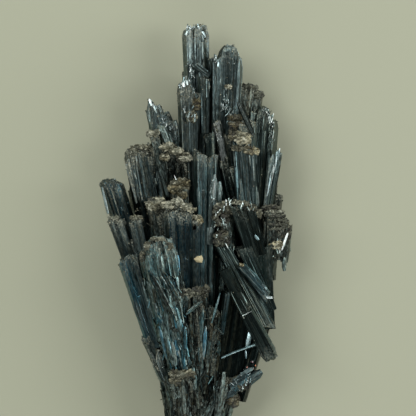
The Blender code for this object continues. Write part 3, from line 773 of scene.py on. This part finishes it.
grown(
    "left_matted_mass", "matted_stibnite",
    [
        Prism((-12.6, -1.3, 26.5), (-3, -52, 17), 11.6, 8, "dome"),
        Prism((-16.4, -5.4, 24.8), (-6, -50, 15.5), 6, 7, "dome"),
        Prism((-8.6, -6.4, 25.8), (-2, -50, 17.5), 5, 6, "dome"),
    ],
    matted._replace(tarnish=0.75, shade=0.58, crust=0.2, dust=3), felted=250,
    crusts=[
        ((-12.4, -2.2, 28.4), (4.6, 1.6, 2.4), 0.5, 0.2),
        ((-15.6, -4.6, 28), (2.4, 3, 2), 0.55, 0.3),
        ((-17.4, -8, 27), (1.4, 3.6, 1.8), 0.5, 0.3),
        ((-8.4, -4.4, 28.4), (1.8, 3, 2), 0.35, 0.3),
    ],
    blades=[
        ((-13.2, -18.4, 28.2), (-15.4, -7.6, 29.4), 3.4, 0.75, 0.7),
        ((-11.2, -14.4, 29.4), (-12.2, -6.4, 30.2), 3, 0.7, 0.6),
        ((-7.4, -27, 27.4), (-15.4, -12.4, 30), 2.2, 0.15, 1),
        ((-5.2, -22.6, 28), (-11.4, -11.6, 30.4), 1.8, 0.15, 0.9),
        ((-6.4, -44, 23.4), (-7.6, -36, 24.6), 1.3, 0.75, 0.8),
        ((-9.4, -42, 23), (-12, -31, 25.2), 1.2, 0.7, 1.2),
        ((-3.6, -45.6, 22.6), (-4.4, -38, 23.6), 1.2, 0.7, 1),
        ((-8, -40, 24.4), (-9.2, -35, 25.2), 0.8, 0.9, 0.8),
    ],
)
grown(
    "lower_ledge_mass", "matted_stibnite",
    [
        Prism((-3.6, -19, 23), (-1.5, -52, 17.5), 6.4, 6.5, "broken"),
        Prism((1.4, -18.2, 22.5), (1, -52, 17), 6, 6.5, "broken"),
        Prism((6, -23.5, 21.5), (4, -52, 16.5), 5.4, 6, "cleaved"),
    ],
    matted._replace(tarnish=0.6, shade=0.22), felted=240,
    crusts=[((-3.6, -19.8, 25.4), (6, 3, 2.8), 0.35, 0.2), ((1.8, -19.2, 25), (5.4, 3, 2.6), 0.2, 0.3)],
    blades=[
        ((-3.2, -38.4, 24.2), (-3.4, -31, 25), 1.2, 0.8, 1),
        ((2.6, -42, 22.8), (3.4, -31, 24.2), 1.2, 1, 1.1),
        ((1.6, -36, 23.6), (2.6, -25, 25.4), 1.2, 0.6, 0.8),
        ((-3, -27, 25.6), (2.2, -22.6, 26.2), 1.2, 0.5, 0.9),
        ((5.4, -30, 24), (8.2, -20, 23.4), 0.8, 0.9, 0.8),
    ],
)

# Front diagonals
# Loose prisms that lie across the fan at its lower right. Their cleavage faces are fresh and smooth, and the
# front one is cracked across.

# Cleaved stibnite, broken along its one perfect cleavage: smooth. Its colours are painted nearly black
# between its highlights: partly the metal's dark grey, partly painted shade and painted reflection of the dim
# studio.
FINISHES["dark_stibnite"] = stibnite(
    "cleaved_stibnite_painted_dark", "090d0c", "242e2d", "505f5c", rough=0.25, speckle=0.3, soil=0.25
)

fresh = Habit(
    ragged=0.15, deep=0.05, deepest=2.0, ridge=0.012, ledges=2, splinters=1.0, dust=0.0, crust=0.15,
    shade=0.75, broad=0.4,
)
grown(
    "front_diagonal", "dark_stibnite",
    [
        Prism((17.8, -27.8, 25.2), (9.5, -12.1, 27.2), 4.8, 4.4, "cleaved", 4),
        Prism((25.4, -42.2, 23), (16.8, -26, 25.2), 5.8, 5, "dome", 4),
    ],
    fresh._replace(shade=0.75),
    blades=[
        ((15.4, -27.4, 27.8), (17.2, -26.6, 28), 0.3, 1.2, 0.1),
        ((17, -26.6, 28), (18.8, -25.8, 27.8), 0.3, 1.2, 0.1),
    ],
)
grown(
    "blue_blade", "blue_stibnite",
    [Prism((24.8, -22.4, 22.9), (15, -11, 23.7), 3.6, 2.6, "cleaved", 4)],
    fresh._replace(tarnish=0.62, shade=0.6, ridge=0.05, splinters=12),
    crusts=[((15.2, -10.8, 24.8), (1.2, 1.2, 1), 0.6, 1.5)],
    blades=[
        ((23.4, -21.4, 24.2), (25.4, -21.4, 24.2), 1, 1.3, 0),
        ((16.4, -13.4, 24.8), (22.6, -20.4, 24.4), 0.4, 0.9, 0.6),
    ],
)
grown(
    "rear_diagonal", "dark_stibnite",
    [Prism((24.3, -33.5, 19.5), (8.2, -3.5, 22), 6.6, 5, "cleaved", -10)],
    fresh,
)

# Centre prisms
# The tall columns in the middle of the fan, striated from end to end as they grew. Their front faces have a
# blue film of tarnish, and crust covers the broken ends of the lower ones.

clean = Habit(ragged=0.25, deep=0.12, deepest=4.0, crust=0.35, shade=0.5, broad=0.36, dust=5.0)
grown(
    "centre_left_prism", "blue_stibnite",
    [
        Prism((-8, 8.6, 23.5), (-5.2, -34, 17.5), 5.4, 8, "broken", 6),
        Prism((-3.6, 8, 24), (-2.8, -34, 17.5), 5.4, 8, "broken", -6),
    ],
    clean._replace(tarnish=0.95, shade=0.26, crust=0.6, reach=1.6, dust=3),
    crusts=[
        ((-9.2, 9, 26.8), (3.8, 2.8, 2.4), 0.75, 0.3),
        ((-6.2, 10, 27), (3.6, 2.6, 2.2), 0.85, 0.2),
        ((-3.2, 8.6, 27.2), (3.6, 2.4, 2), 0.75, 0.3),
        ((-1.4, 7.4, 26.6), (3.2, 1.8, 1.8), 0.8, 0.5),
    ],
    blades=[((-5.7, -14.6, 24.4), (-5.9, -7.6, 25.4), 1.4, 0.8, 1.25)],
)
grown(
    "notched_prism", "blue_stibnite",
    [Prism((0.5, 5, 21.5), (0.8, -30, 17), 4.4, 6, "broken", -8)],
    clean._replace(tarnish=0.5, shade=0.36, crust=0.7, reach=1.6), pits=[(-2, 0, 0.91, 0.96, 1.4)],
    crusts=[((0.2, 4.8, 24), (3.8, 1.8, 1.8), 0.75, 0.5), ((1.4, 3.8, 24), (2, 2.2, 1.6), 0.7, 0.9)],
)
grown(
    "centre_prism", "stibnite",
    [
        Prism((1.7, 27.6, 22.5), (2.2, -34, 15.5), 5, 6.5, "cleaved", 12),
        Prism((4.9, 26.2, 21.5), (4.8, -34, 14.5), 4.8, 6, "cleaved", -14),
    ],
    clean._replace(tarnish=0.7, shade=0.35),
)
grown(
    "bright_shard", "stibnite",
    [
        Prism((6.3, 19.3, 25), (4.7, -4, 21.5), 2.8, 2.2, "point", 20),
        Prism((8.1, 17, 24), (6.3, 2, 21), 2.4, 2.4, "point", -25),
    ],
    clean._replace(shade=0.9, tarnish=0.3, crust=0.15, splinters=9),
    blades=[
        ((5.4, 8, 23.8), (6.4, 17, 25.8), 0.7, 1.5, 0.3),
        ((4.8, -2, 22.4), (5.4, 8, 23.8), 0.8, 1.3, 0.7),
        ((7.2, 6, 22.8), (8, 14, 24.6), 0.6, 1.4, 0.4),
    ],
    glints=[((5.6, 18, 26), (6.4, 8, 24.6), 0.5, 12)],
)
grown(
    "thin_blue_blade", "blue_stibnite",
    [Prism((10.9, -19.3, 19.9), (8.7, -34, 17.8), 1.8, 1.6, "cleaved")],
    fresh._replace(tarnish=0.7, shade=0.7),
)
grown(
    "cross_needle", "blue_stibnite",
    [Prism((20.8, -37, 18.6), (5.5, -43, 18.6), 0.8, 1, "point", 14)],
    fresh._replace(tarnish=0.6, shade=1, ledges=0, splinters=0, ragged=0.1),
)

# Left side
# The prisms that lean out to the left, from the long pair low down to the spikes beside the crown. Earthy
# crust sits on the broken ends between them.

grown(
    "left_step_pair", "stibnite",
    [
        Prism((-27, 5.2, 19), (-17.5, -22, 17), 5.8, 6, "broken", 10),
        Prism((-19.8, 5.2, 19), (-13.5, -22, 17), 5.2, 6, "broken", -8),
        Prism((-23.2, -2, 18), (-15, -24, 16.5), 4.4, 5, "broken"),
    ],
    clean._replace(shade=0.35, crust=0.4, tarnish=0.4),
    crusts=[((-27.2, 4.6, 21.6), (3.4, 2, 1.8), 0.65, 0.1), ((-19.8, 4.8, 21.8), (4.2, 2, 1.8), 0.6, 0.3)],
)
grown(
    "left_prong", "stibnite",
    [
        Prism((-30.1, 17.6, 15.5), (-19.4, -16, 14), 5.2, 7, "dome", 16),
        Prism((-26.9, 16.6, 16), (-16.6, -16, 14.5), 5.6, 7, "dome", -12),
        Prism((-28.6, 17.6, 16.9), (-18.2, -16, 15.4), 5.6, 6, "dome", 4),
    ],
    clean._replace(ragged=0.1, deep=0, shade=0.08, tarnish=1, crust=0.15, dust=3, splinters=1.5),
    blades=[((-29, 6, 19.4), (-31, 15, 19), 1, 1, 0.2)],
)
grown(
    "left_long_pair", "blue_stibnite",
    [
        Prism((-24.3, -7, 19.5), (-15, -36, 16.2), 4.8, 5.5, "cleaved", 8),
        Prism((-20.8, -6.6, 20), (-11.9, -38, 16.4), 4, 5.5, "broken", -12, clean._replace(tarnish=0.5)),
    ],
    clean._replace(tarnish=0.9, shade=0.65, crust=0.3, splinters=6),
)
grown(
    "crusted_back_prism", "matted_stibnite",
    [Prism((-13.6, 11, 20.5), (-9, -14, 18), 6.4, 6, "broken")],
    clean._replace(crust=0.9), felted=30,
    crusts=[
        ((-13, 9.4, 22.8), (6.6, 4.4, 4), 0.45, 0.3),
        ((-14.5, 8.6, 24), (4, 3, 2.6), 0.65, 0.4),
        ((-11.8, 10.4, 24), (3.4, 2.6, 2.4), 0.75, 0.3),
    ],
)
grown(
    "shelf_prism", "matted_stibnite",
    [Prism((-5, 17.6, 19.5), (-4.2, -8, 17), 6.4, 5.5, "broken")],
    clean._replace(crust=0.9),
    crusts=[
        ((-5.2, 15.6, 21), (6.4, 5, 3.6), 0.45, 0.3),
        ((-6.8, 14.5, 22.2), (4, 3.4, 2.6), 0.45, 0.9),
        ((-3.8, 16.3, 22), (3.4, 3.2, 2.4), 0.4, 0.8),
        ((-4.5, 12.4, 21.8), (3, 2.6, 2), 0.5, 0.9),
    ],
    blades=[((-5.6, 15.6, 21.5), (-7, 18.8, 20.8), 0.3, 1.4, 0.2)],
)
# Its prisms' metal is painted dark, at shade 0.15: painted shade in the hollow under the crust.
grown(
    "crust_ledge", "matted_stibnite",
    [
        Prism((-8.4, 28.5, 18), (-6.5, 6, 15.5), 5.6, 5.5, "broken"),
        Prism((-4.4, 26, 18), (-3.8, 6, 15.5), 4.8, 5, "broken"),
    ],
    clean._replace(crust=0.7, reach=1.2, dust=4, shade=0.15),
    crusts=[
        ((-8.2, 27.4, 19.6), (5.8, 4, 3.8), 0.45, 0.3),
        ((-4.4, 25, 19.6), (4.4, 3.6, 3.4), 0.45, 0.3),
        ((-9.6, 28.2, 21.2), (4, 3.4, 2.6), 0.75, 0.3),
        ((-6.2, 26.8, 21.4), (4.4, 2.6, 2.4), 0.8, 0.3),
        ((-3.2, 24.4, 21.4), (4.6, 2, 1.8), 1, 0.2),
        ((-10.2, 24.8, 20.6), (3, 3, 2), 0.6, 0.5),
    ],
)
grown(
    "crust_stub", "matted_stibnite",
    [
        Prism((-14, 34.2, 17.5), (-8.5, 12, 15.5), 4.4, 5, "broken"),
        Prism((-11.6, 36, 19), (-7.6, 26, 18), 3.2, 2.6, "cleaved", 0, clean._replace(shade=0.9, crust=0.1)),
    ],
    clean._replace(crust=0.9),
    crusts=[((-14.2, 32.8, 19.6), (4, 2.4, 2.2), 0.7, 0.2)],
)
grown(
    "left_block", "stibnite",
    [
        Prism((-18.2, 29.4, 14.5), (-11.4, -10, 14), 7.2, 8, "broken", 6),
        Prism((-21.8, 28, 15.5), (-14.7, -8, 14.5), 5, 6.5, "dome", 18),
        Prism((-13, 27, 14.5), (-8.5, -8, 13.5), 5, 6.5, "cleaved", -12),
        Prism(
            (-22.4, 24.4, 17.2), (-16.6, 4, 16.2), 3.4, 3, "dome", 10,
            clean._replace(shade=0.8, crust=0.8, reach=18, pale=0.8),
        ),
    ],
    clean._replace(crust=0.4, shade=0.1, tarnish=0.45),
    crusts=[
        ((-18, 27.8, 17.2), (7.4, 2.8, 3.6), 0.45, 0.3),
        ((-21.2, 26.4, 18.2), (3.4, 2.4, 2), 0.6, 0.1),
        ((-17, 28.2, 18.4), (4.4, 1.6, 2), 0.6, 0.3),
        ((-13, 27.4, 18.2), (3.6, 1.8, 2), 0.65, 0.2),
    ],
)
grown(
    "left_spike_fan", "stibnite",
    [
        Prism((-15.4, 44.5, 12.5), (-8, 8, 11.5), 4.4, 4.5, "point", 10),
        Prism((-12.3, 42.6, 13), (-6.5, 8, 12), 3.6, 4.2, "point"),
        Prism((-9.5, 40.4, 13.5), (-5, 8, 12.5), 3.4, 4.2, "point", -10),
        Prism((-6.8, 37.6, 14), (-4, 8, 13), 3.2, 4.2, "point"),
        Prism((-14, 43, 12.8), (-7.4, 8, 12), 3.2, 4.4, "cleaved", 4),
        Prism((-11, 40.8, 13.2), (-5.8, 8, 12.4), 3.2, 4.4, "cleaved", -4),
        Prism((-8.2, 38.2, 13.7), (-4.6, 8, 12.8), 3.2, 4.4, "cleaved", 4),
        Prism((-5.6, 34.6, 14), (-3.6, 8, 13), 3, 4.2, "broken"),
    ],
    clean._replace(shade=0.6, tarnish=0.4, crust=0.2, pale=0.9, splinters=6, dust=3),
    blades=[
        ((-14.6, 42, 15.2), (-15.4, 44.4, 14.6), 1.2, 1.3, 0.1),
        ((-12.9, 39.6, 15.4), (-14, 42, 15.2), 0.8, 1.1, 0.4),
    ],
    glints=[
        ((-15.2, 43.2, 14.8), (-12.8, 40.6, 15.2), 0.4, 16),
        ((-12, 40, 15.6), (-8, 34, 16.2), 0.7, 12),
        ((-9.6, 33.6, 16.2), (-6.2, 30, 17), 0.8, 14),
    ],
)

# Right side
# A crusted cluster over the diagonals, the tall dark prisms behind it, and the bulge and bright fringe at the
# right edge. The widest is a cleaved prism that shows black between the root and the diagonals.

grown(
    "crusted_cluster", "matted_stibnite",
    [
        Prism((8.9, 10, 23.5), (12.5, -12, 19), 5.4, 6, "broken"),
        Prism(
            (13.2, 9.4, 24.5), (19.2, -8.6, 20.5), 5.6, 6, "cleaved", 2,
            fresh._replace(shade=0.9, slot=FRESH_SLOT),
        ),
        Prism(
            (17.8, 9.6, 23), (22, -7, 19.5), 5, 6, "broken", -8, fresh._replace(shade=0.6, slot=FRESH_SLOT),
        ),
    ],
    matted._replace(crust=0.5, dust=12, reach=5, pale=0.12),
    crusts=[
        ((8.6, 5.6, 25), (5.6, 7.6, 4), 0.12, 0.3),
        ((8.8, -2, 24), (5, 6, 3.6), 0.12, 0.3),
        ((8, 8.6, 25.6), (3, 2.4, 2.4), 0.4, 0.2),
        ((10.4, 9.6, 26), (3.2, 2, 2), 0.45, 0.2),
        ((13.4, 9.8, 26.6), (3.4, 1.8, 1.8), 0.55, 0.2),
        ((16, 9.4, 26.4), (3.2, 1.8, 1.8), 0.4, 0.3),
        ((18.6, 8.2, 25.4), (3.2, 2.4, 2), 0.4, 0.3),
        ((20.6, 6, 24), (2.4, 3, 2), 0.4, 0.4),
    ],
    blades=[((19.6, -1, 24.6), (20.8, -2.6, 24.4), 1, 1.2, 0.6)],
    glints=[((7, 8, 27.6), (11, -5, 26.4), 1.3, 24), ((9, 9.5, 27.6), (20, 8.5, 26.4), 0.8, 12)],
)
grown(
    "right_prism", "stibnite",
    [
        Prism((13.4, 37, 19.5), (15.8, 0, 17), 4.8, 7, "broken", -3),
        Prism((17.5, 38, 19.5), (19.4, 0, 17), 5, 7, "broken", -10),
        Prism((15.4, 36.4, 20.2), (17.5, 0, 17.6), 4.2, 6, "broken", 4),
    ],
    clean._replace(tarnish=0.5, crust=0.5, shade=0.36, ledges=7, splinters=7),
    crusts=[
        ((13, 37.8, 21.2), (5, 2.4, 2.8), 0.3, 0.8),
        ((13.6, 35.4, 22), (5.4, 2.8, 2.8), 0.25, 0.8),
        ((15.6, 31, 22.8), (5.4, 5.2, 3.6), 0.9, 0.5),
        ((12.6, 32.4, 22), (3, 4.4, 2.4), 0.3, 0.5),
        ((18.4, 27, 22), (4.8, 3.2, 2.6), 0.5, 0.8),
        ((14.4, 27.8, 22.2), (4.6, 2.4, 2.2), 0.35, 0.4),
    ],
    blades=[((19.2, 32, 23.8), (14, 43.2, 21.8), 2, 0, 0.1)],
    glints=[((13, 30, 20.6), (18, 24, 20.6), 1, 8)],
)
grown(
    "right_slab", "dark_stibnite",
    [
        Prism((15.6, -4.2, 22.4), (25, -26, 17), 5.6, 4.6, "broken", 4),
        Prism((22.8, -4, 18.5), (24.4, -32, 15.5), 5.4, 6, "broken"),
    ],
    fresh._replace(shade=0.85, ridge=0.03, tarnish=0.4),
)
grown(
    "right_bulge", "matted_stibnite",
    [
        Prism((24.6, 9, 18.5), (23.8, -14, 15.5), 7.4, 7, "broken"),
        Prism((28.6, 5.6, 16.5), (27.4, -9, 14.5), 5.8, 6.5, "broken", 10),
        Prism((30.8, 1.6, 15), (29.6, -10, 13.5), 3.2, 4.5, "cleaved"),
    ],
    matted._replace(crust=0.5, dust=15, reach=4, pale=0.2, shade=0.3),
    crusts=[
        ((25, 8, 20.2), (6, 2.4, 3), 0.2, 0.3),
        ((29.4, 0.6, 17.4), (4, 7, 3.4), 0.2, 0.3),
        ((26.4, 6.8, 20.8), (6, 1.3, 3), 0.5, 0.1),
        ((26.8, 5.4, 21), (6.2, 1.3, 3), 0.2, 0.1),
        ((27, 4, 21), (6.2, 1.3, 3), 0.45, 0.1),
        ((27, 2.6, 20.8), (6, 1.3, 3), 0.15, 0.1),
        ((26.6, 1.2, 20.4), (5.6, 1.3, 3), 0.35, 0.1),
        ((26.2, -4.4, 19.4), (5.4, 3.2, 2.6), 0.75, 0.6),
        ((24.4, -7.6, 18.8), (3, 3, 2.4), 0.5, 0.6),
    ],
    blades=[
        ((28.6, -6, 19.4), (30.6, -0.2, 19.4), 0.9, 1.7, 0.3),
        ((29.6, -13, 16.4), (29.4, -8.4, 17), 1.6, 0.7, 0.3),
    ],
    glints=[((24, -8, 20), (30, -4, 18.6), 1, 16)],
)
grown(
    "right_fringe", "stibnite",
    [
        Prism((28, 27.6, 17.5), (24.6, 8, 16), 2.2, 2.6, "cleaved", -20),
        Prism((26, 26, 18.5), (23.4, 7, 17), 2, 2.6, "point", -15),
    ],
    clean._replace(shade=0.5, tarnish=0.35, crust=0.15, splinters=14),
    blades=[
        ((23.8 + 1.2 * k, 12 + 4 * k, 18.8), (25.2 + 0.9 * k, 20 + 2.6 * k, 19.4), 0.6, 1.25, 0.5)
        for k in range(4)
    ],
)
grown(
    "right_edge_blade", "dark_stibnite",
    [
        Prism((26.3, 25.2, 13), (24.2, -16, 11.5), 3.4, 4.5, "cleaved"),
        Prism((27, 13.4, 13), (25, -16, 11.5), 4.6, 5, "broken"),
    ],
    clean,
)
grown(
    "right_tall_prism", "dark_stibnite",
    [
        Prism((22.4, 42, 15), (18.5, -10, 12.5), 6.6, 7.5, "dome", 8),
        Prism((25.3, 38, 14), (22.5, -10, 12), 5, 7, "dome", -14),
        Prism((19.2, 40, 14.5), (16.5, -10, 12.5), 4.2, 6, "broken", 20),
    ],
    clean._replace(shade=0.68, crust=0.12, pale=0.7, dust=3),
    blades=[
        ((25.6, 31, 17.4), (26, 34, 17.4), 0.5, 1.1, 0.3),
        ((24.6, 36, 17.8), (24.4, 38.8, 17.8), 0.5, 1.2, 0.2),
        ((24.2, 26, 17.8), (25.2, 29.6, 17.6), 0.5, 1, 0.4),
    ],
    glints=[((23, 41, 18.2), (25.2, 37.6, 17.6), 0.4, 14), ((25.2, 37.6, 17.6), (25.8, 29, 17), 0.5, 16)],
)
grown(
    "black_prism", "dark_stibnite",
    [
        Prism((15.6, -13, 14.5), (8.5, -56, 12), 13, 7.5, "cleaved", 6),
        Prism((22.6, -27, 13.5), (14, -56, 11), 7.5, 6.5, "cleaved", -10),
    ],
    fresh._replace(shade=0.45, crust=0),
    chips=[
        ((18.8, -43.2, 16), (1, 0.7, 0.6), 0.9, 2),
        ((20, -44.4, 15.6), (0.8, 0.8, 0.6), 1, 2.1),
        ((19.2, -45.6, 15.6), (0.9, 0.6, 0.6), 0.8, 1.9),
        ((17.2, -45, 16), (0.7, 0.7, 0.6), 0.8, 2),
    ],
    blades=[
        ((17, -38.2, 18.2), (18.3, -32.6, 18.6), 1.8, 1.5, 0.6),
        ((16.8, -42, 17.6), (16.6, -39.3, 17.8), 0.8, 1.3, 0.8),
    ],
)
grown(
    "right_back_stub", "matted_stibnite",
    [
        Prism((18, 49.6, 10.5), (13.5, -8, 9), 5.6, 6, "broken"),
        Prism((20.4, 47.6, 10.2), (16.5, -6, 8.5), 4.6, 5, "broken"),
        Prism((15.6, 48.6, 11.5), (12, -8, 9.5), 3.8, 5, "broken"),
    ],
    clean._replace(crust=0.6, shade=0.35, pale=0.25),
    crusts=[
        ((17.6, 48.4, 12.2), (6.4, 2.4, 3.2), 0.35, 0.1),
        ((20.8, 45.8, 11.8), (3.8, 3.2, 2.8), 0.25, 0.1),
    ],
)

# Crown
# The highest prisms, the cleanest and best striated. They ended freely, in low domes, and a small shard is
# caught between the two tallest.

grown(
    "left_pillar", "stibnite",
    [
        Prism((-3.7, 50, 20), (-2.2, 8, 16), 5.4, 5.5, "dome", 10),
        Prism((0, 46.8, 19.5), (-0.8, 8, 15.5), 3.8, 5, "broken", -10),
    ],
    clean._replace(shade=0.35, crust=0.3, pale=0.6),
    crusts=[((-1.4, 38.4, 21), (3.6, 4.2, 2), 0.6, 0.3), ((0.3, 42.4, 21.4), (2.4, 5, 1.8), 0.15, 1.2)],
    blades=[
        ((-3.8, 48, 22.8), (-4.1, 50, 22.2), 1.3, 1.3, 0),
        ((-2.6, 48.6, 22.8), (-2.9, 50.2, 22.4), 0.8, 1.2, 0.2),
    ],
    glints=[
        ((-4.8, 48.4, 22.4), (-2.6, 50.2, 22.2), 0.4, 12),
        ((-1.5, 49, 22.4), (0.2, 44.6, 22.2), 0.5, 10),
        ((-3.4, 41, 22.8), (-0.8, 37.4, 22.8), 0.8, 14),
    ],
)
grown(
    "inner_stub", "dark_stibnite",
    [Prism((5, 33.4, 18), (5.8, 4, 15), 4.6, 5, "broken")],
    clean._replace(crust=0.15, pale=0.8, tarnish=0.5, shade=0.7),
)
grown(
    "inner_blades", "dark_stibnite",
    [
        Prism((7, 37.2, 19), (12.4, 10, 17), 2.8, 3.2, "broken", 0, clean._replace(shade=1.2, crust=0.6)),
        Prism((10, 33, 17.5), (14.4, 8, 15.5), 2.8, 3.4, "cleaved"),
        Prism((8.8, 24.5, 18.5), (12.8, 4, 17), 3, 3.4, "cleaved"),
        Prism((11.8, 21.6, 20), (15.6, 6, 18.6), 2, 2.4, "broken", 10, clean._replace(shade=0.9, crust=0.5)),
        Prism((9.6, 28.8, 19), (12.6, 12, 18.4), 1.6, 2, "point", -10),
    ],
    clean._replace(shade=0.6),
)
grown(
    "crown_prism", "stibnite",
    [
        Prism((11.2, 62.2, 16), (8.6, 2, 12), 7.8, 7, "dome", 6),
        Prism((13, 59, 15.4), (11, 2, 11.7), 6.2, 6.5, "dome", -10),
        Prism((6.6, 58.6, 17), (6.2, 4, 12.5), 4.6, 5.5, "broken", 10),
        Prism((3, 52, 17.5), (3.2, 33, 16), 4.6, 4.5, "broken"),
        Prism((-0.8, 56.2, 18.5), (4.6, 52, 18), 2.6, 2.2, "cleaved"),
    ],
    clean._replace(ragged=0.12, deep=0, shade=0.45, crust=0.1, reach=1.2, pale=0.8, dust=4, tarnish=0.3),
    crusts=[((10.9, 48.2, 19.4), (2, 1.7, 1.4), 0.7, 0.4)],
    blades=[
        ((6.4, 57, 20.2), (6.8, 58.8, 19.8), 0.8, 1.2, 0.1),
        ((7.4, 54.8, 20.2), (7.6, 56.6, 20), 0.6, 1.2, 0.5),
    ],
    glints=[
        ((6, 58.4, 20), (7.8, 55.6, 20), 0.4, 14),
        ((9.2, 59.6, 18.2), (11.6, 61.6, 17.6), 0.4, 10),
        ((11.6, 61.6, 17.6), (14.4, 58.6, 17.6), 0.4, 12),
        ((9.4, 45.4, 19.8), (12.6, 36, 20.4), 0.9, 40),
    ],
)
grown(
    "crown_blade", "stibnite",
    [
        Prism((-2.6, 67.8, 13.5), (-0.4, 2, 11.5), 4, 5.5, "dome", 12),
        Prism((1.6, 69.3, 13.3), (2.6, 2, 11.3), 6, 5.5, "dome", -4),
    ],
    clean._replace(ragged=0.15, deep=0, shade=0.55, crust=0.3, pale=0.85, dust=3, tarnish=0.2),
    blades=[
        ((2.2, 66.8, 15.6), (3.4, 64.8, 15.8), 0.9, 1.3, 0.45),
        ((-3.2, 65.4, 15.9), (-2.6, 67.4, 15.6), 0.8, 1.2, 0.1),
    ],
    glints=[
        ((-3, 64.6, 15.8), (-2, 67.4, 15.4), 0.4, 18),
        ((-2.4, 68.4, 15.2), (2.8, 68.2, 15), 0.4, 16),
        ((-2.8, 57, 16.8), (-0.4, 51, 17.4), 0.5, 12),
    ],
)

# Middle and back
# The prisms behind the visible ones, dark and plain because little light reaches them. The specimen lies on
# the cleavage faces of the back ones.

plain = clean._replace(shade=0.5, dust=3, splinters=2, crust=0.2, ledges=3)
for name, prism in {
    "middle_left_low": Prism((-16, 0, 12.5), (-5, -50, 11.5), 8.5, 8.5, "broken", 10),
    "middle_left": Prism((-9, 24, 11.5), (-3, -48, 11), 8.5, 8, "cleaved", -8),
    "middle_centre": Prism((1.5, 12, 14), (0.5, -48, 12), 8, 8, "broken", 5),
    "middle_right": Prism((13, 30, 11.5), (4.5, -48, 11), 9, 8, "cleaved", -10),
    "middle_right_low": Prism((19, 0, 12), (7.5, -50, 11), 9, 8.5, "broken", 12),
    "back_left_low": Prism((-20.5, -4, 4.6), (-8.5, -51, 5.6), 7, 9.8, "cleaved"),
    "back_left": Prism((-20, 17, 5.6), (-5, -52, 5.2), 7.6, 9.4, "dome", 4),
    "back_left_tall": Prism((-11, 36, 5.5), (-3, -50, 5), 8, 9.5, "broken", -5),
    "back_centre": Prism((-0.6, 54, 5.2), (0, -55, 5), 7.8, 10.6, "chisel"),
    "back_crown": Prism((7.5, 51, 6.5), (2.5, -50, 5.2), 8, 9.5, "dome", 6),
    "back_right_tall": Prism((17.5, 36, 5.5), (5, -50, 5.2), 8.4, 9, "cleaved", -4),
    "back_right": Prism((25, 14, 5.6), (7.5, -52, 5.2), 8, 9.2, "broken", 5),
    "back_right_low": Prism((23, -16, 4.6), (9.5, -54, 5.6), 7, 9.8, "dome"),
}.items():
    grown(name, "dark_stibnite", [prism], plain)

# Calcite grain
# A loose grain of calcite, cleaved from the vein that the crystals grew in and caught on the notched prism.
# It is cream coloured and waxy.

calcite = bpy.data.materials.new("calcite")
calcite.use_nodes = True
calcite.node_tree.nodes["Principled BSDF"].inputs["Base Color"].default_value = linear("b5ab86")
calcite.node_tree.nodes["Principled BSDF"].inputs["Roughness"].default_value = 0.45
FINISHES["calcite"] = calcite
calcite_grain = Heap()
crumbs(calcite_grain, np.random.default_rng(4), [(1.2, -8.8, 24.2)], 3.0, slot=0)
placed("calcite_grain", "calcite", calcite_grain)

# Floor
# A plain, pale, matt card that the specimen lies on. It is 6 m wide, so that its edge is out of sight.

CARD_HALF = 3.0
card_corners = [(x * CARD_HALF, y * CARD_HALF, 0.0) for x, y in ((-1, -1), (1, -1), (1, 1), (-1, 1))]
card_mesh = bpy.data.meshes.new("floor")
card_mesh.from_pydata(card_corners, [], [(0, 1, 2, 3)])
floor = bpy.data.objects.new("floor", card_mesh)
bpy.context.scene.collection.objects.link(floor)
matt_card = bpy.data.materials.new("matt_card")
matt_card.use_nodes = True
matt_card.node_tree.nodes["Principled BSDF"].inputs["Base Color"].default_value = linear("9ea18c")
matt_card.node_tree.nodes["Principled BSDF"].inputs["Roughness"].default_value = 0.9
card_mesh.materials.append(matt_card)

# Light
# Soft boxes round a dim studio: a big one to the upper left of the camera, and narrower ones to the right,
# below and above. The metal stays dark between their reflections.

world = bpy.data.worlds.new("studio")
world.use_nodes = True
world.node_tree.nodes["Background"].inputs["Color"].default_value = linear("8f9490")
world.node_tree.nodes["Background"].inputs["Strength"].default_value = 0.3
bpy.context.scene.world = world
bpy.context.scene.view_settings.view_transform = "Standard"

# Place and size in metres, and power in watts.
for name, place, size, power in (
    ("key", (-0.6, 0.45, 0.95), (0.8, 0.8), 9.8),
    ("right", (0.95, 0.1, 0.5), (0.4, 1.1), 8.5),
    ("low", (0.1, -0.95, 0.5), (1.1, 0.4), 5.0),
    ("high", (0.3, 1.0, 0.5), (1.1, 0.4), 7.5),
):
    lamp = bpy.data.lights.new(name, "AREA")
    lamp.shape = "RECTANGLE"
    lamp.size, lamp.size_y = size
    lamp.energy = power
    soft_box = bpy.data.objects.new(name, lamp)
    soft_box.location = place
    soft_box.rotation_euler = (-Vector(place)).to_track_quat("-Z", "Y").to_euler()
    bpy.context.scene.collection.objects.link(soft_box)

# Camera
# A long lens straight above. Its view is 138.7 mm wide at the height of the visible faces, and its middle is
# a little to the right of the specimen's and above it.

# In metres. VIEW_HEIGHT is that of the visible faces over the floor.
CAMERA_DISTANCE, VIEW_WIDTH, VIEW_HEIGHT = 0.9, 0.138667, 0.015
VIEW_MIDDLE = 0.0041667, 0.008
lens = bpy.data.cameras.new("camera")
lens.sensor_width = 36.0
lens.lens = lens.sensor_width * CAMERA_DISTANCE / VIEW_WIDTH
camera = bpy.data.objects.new("camera", lens)
camera.location = (*VIEW_MIDDLE, VIEW_HEIGHT + CAMERA_DISTANCE)
bpy.context.scene.collection.objects.link(camera)
bpy.context.scene.camera = camera
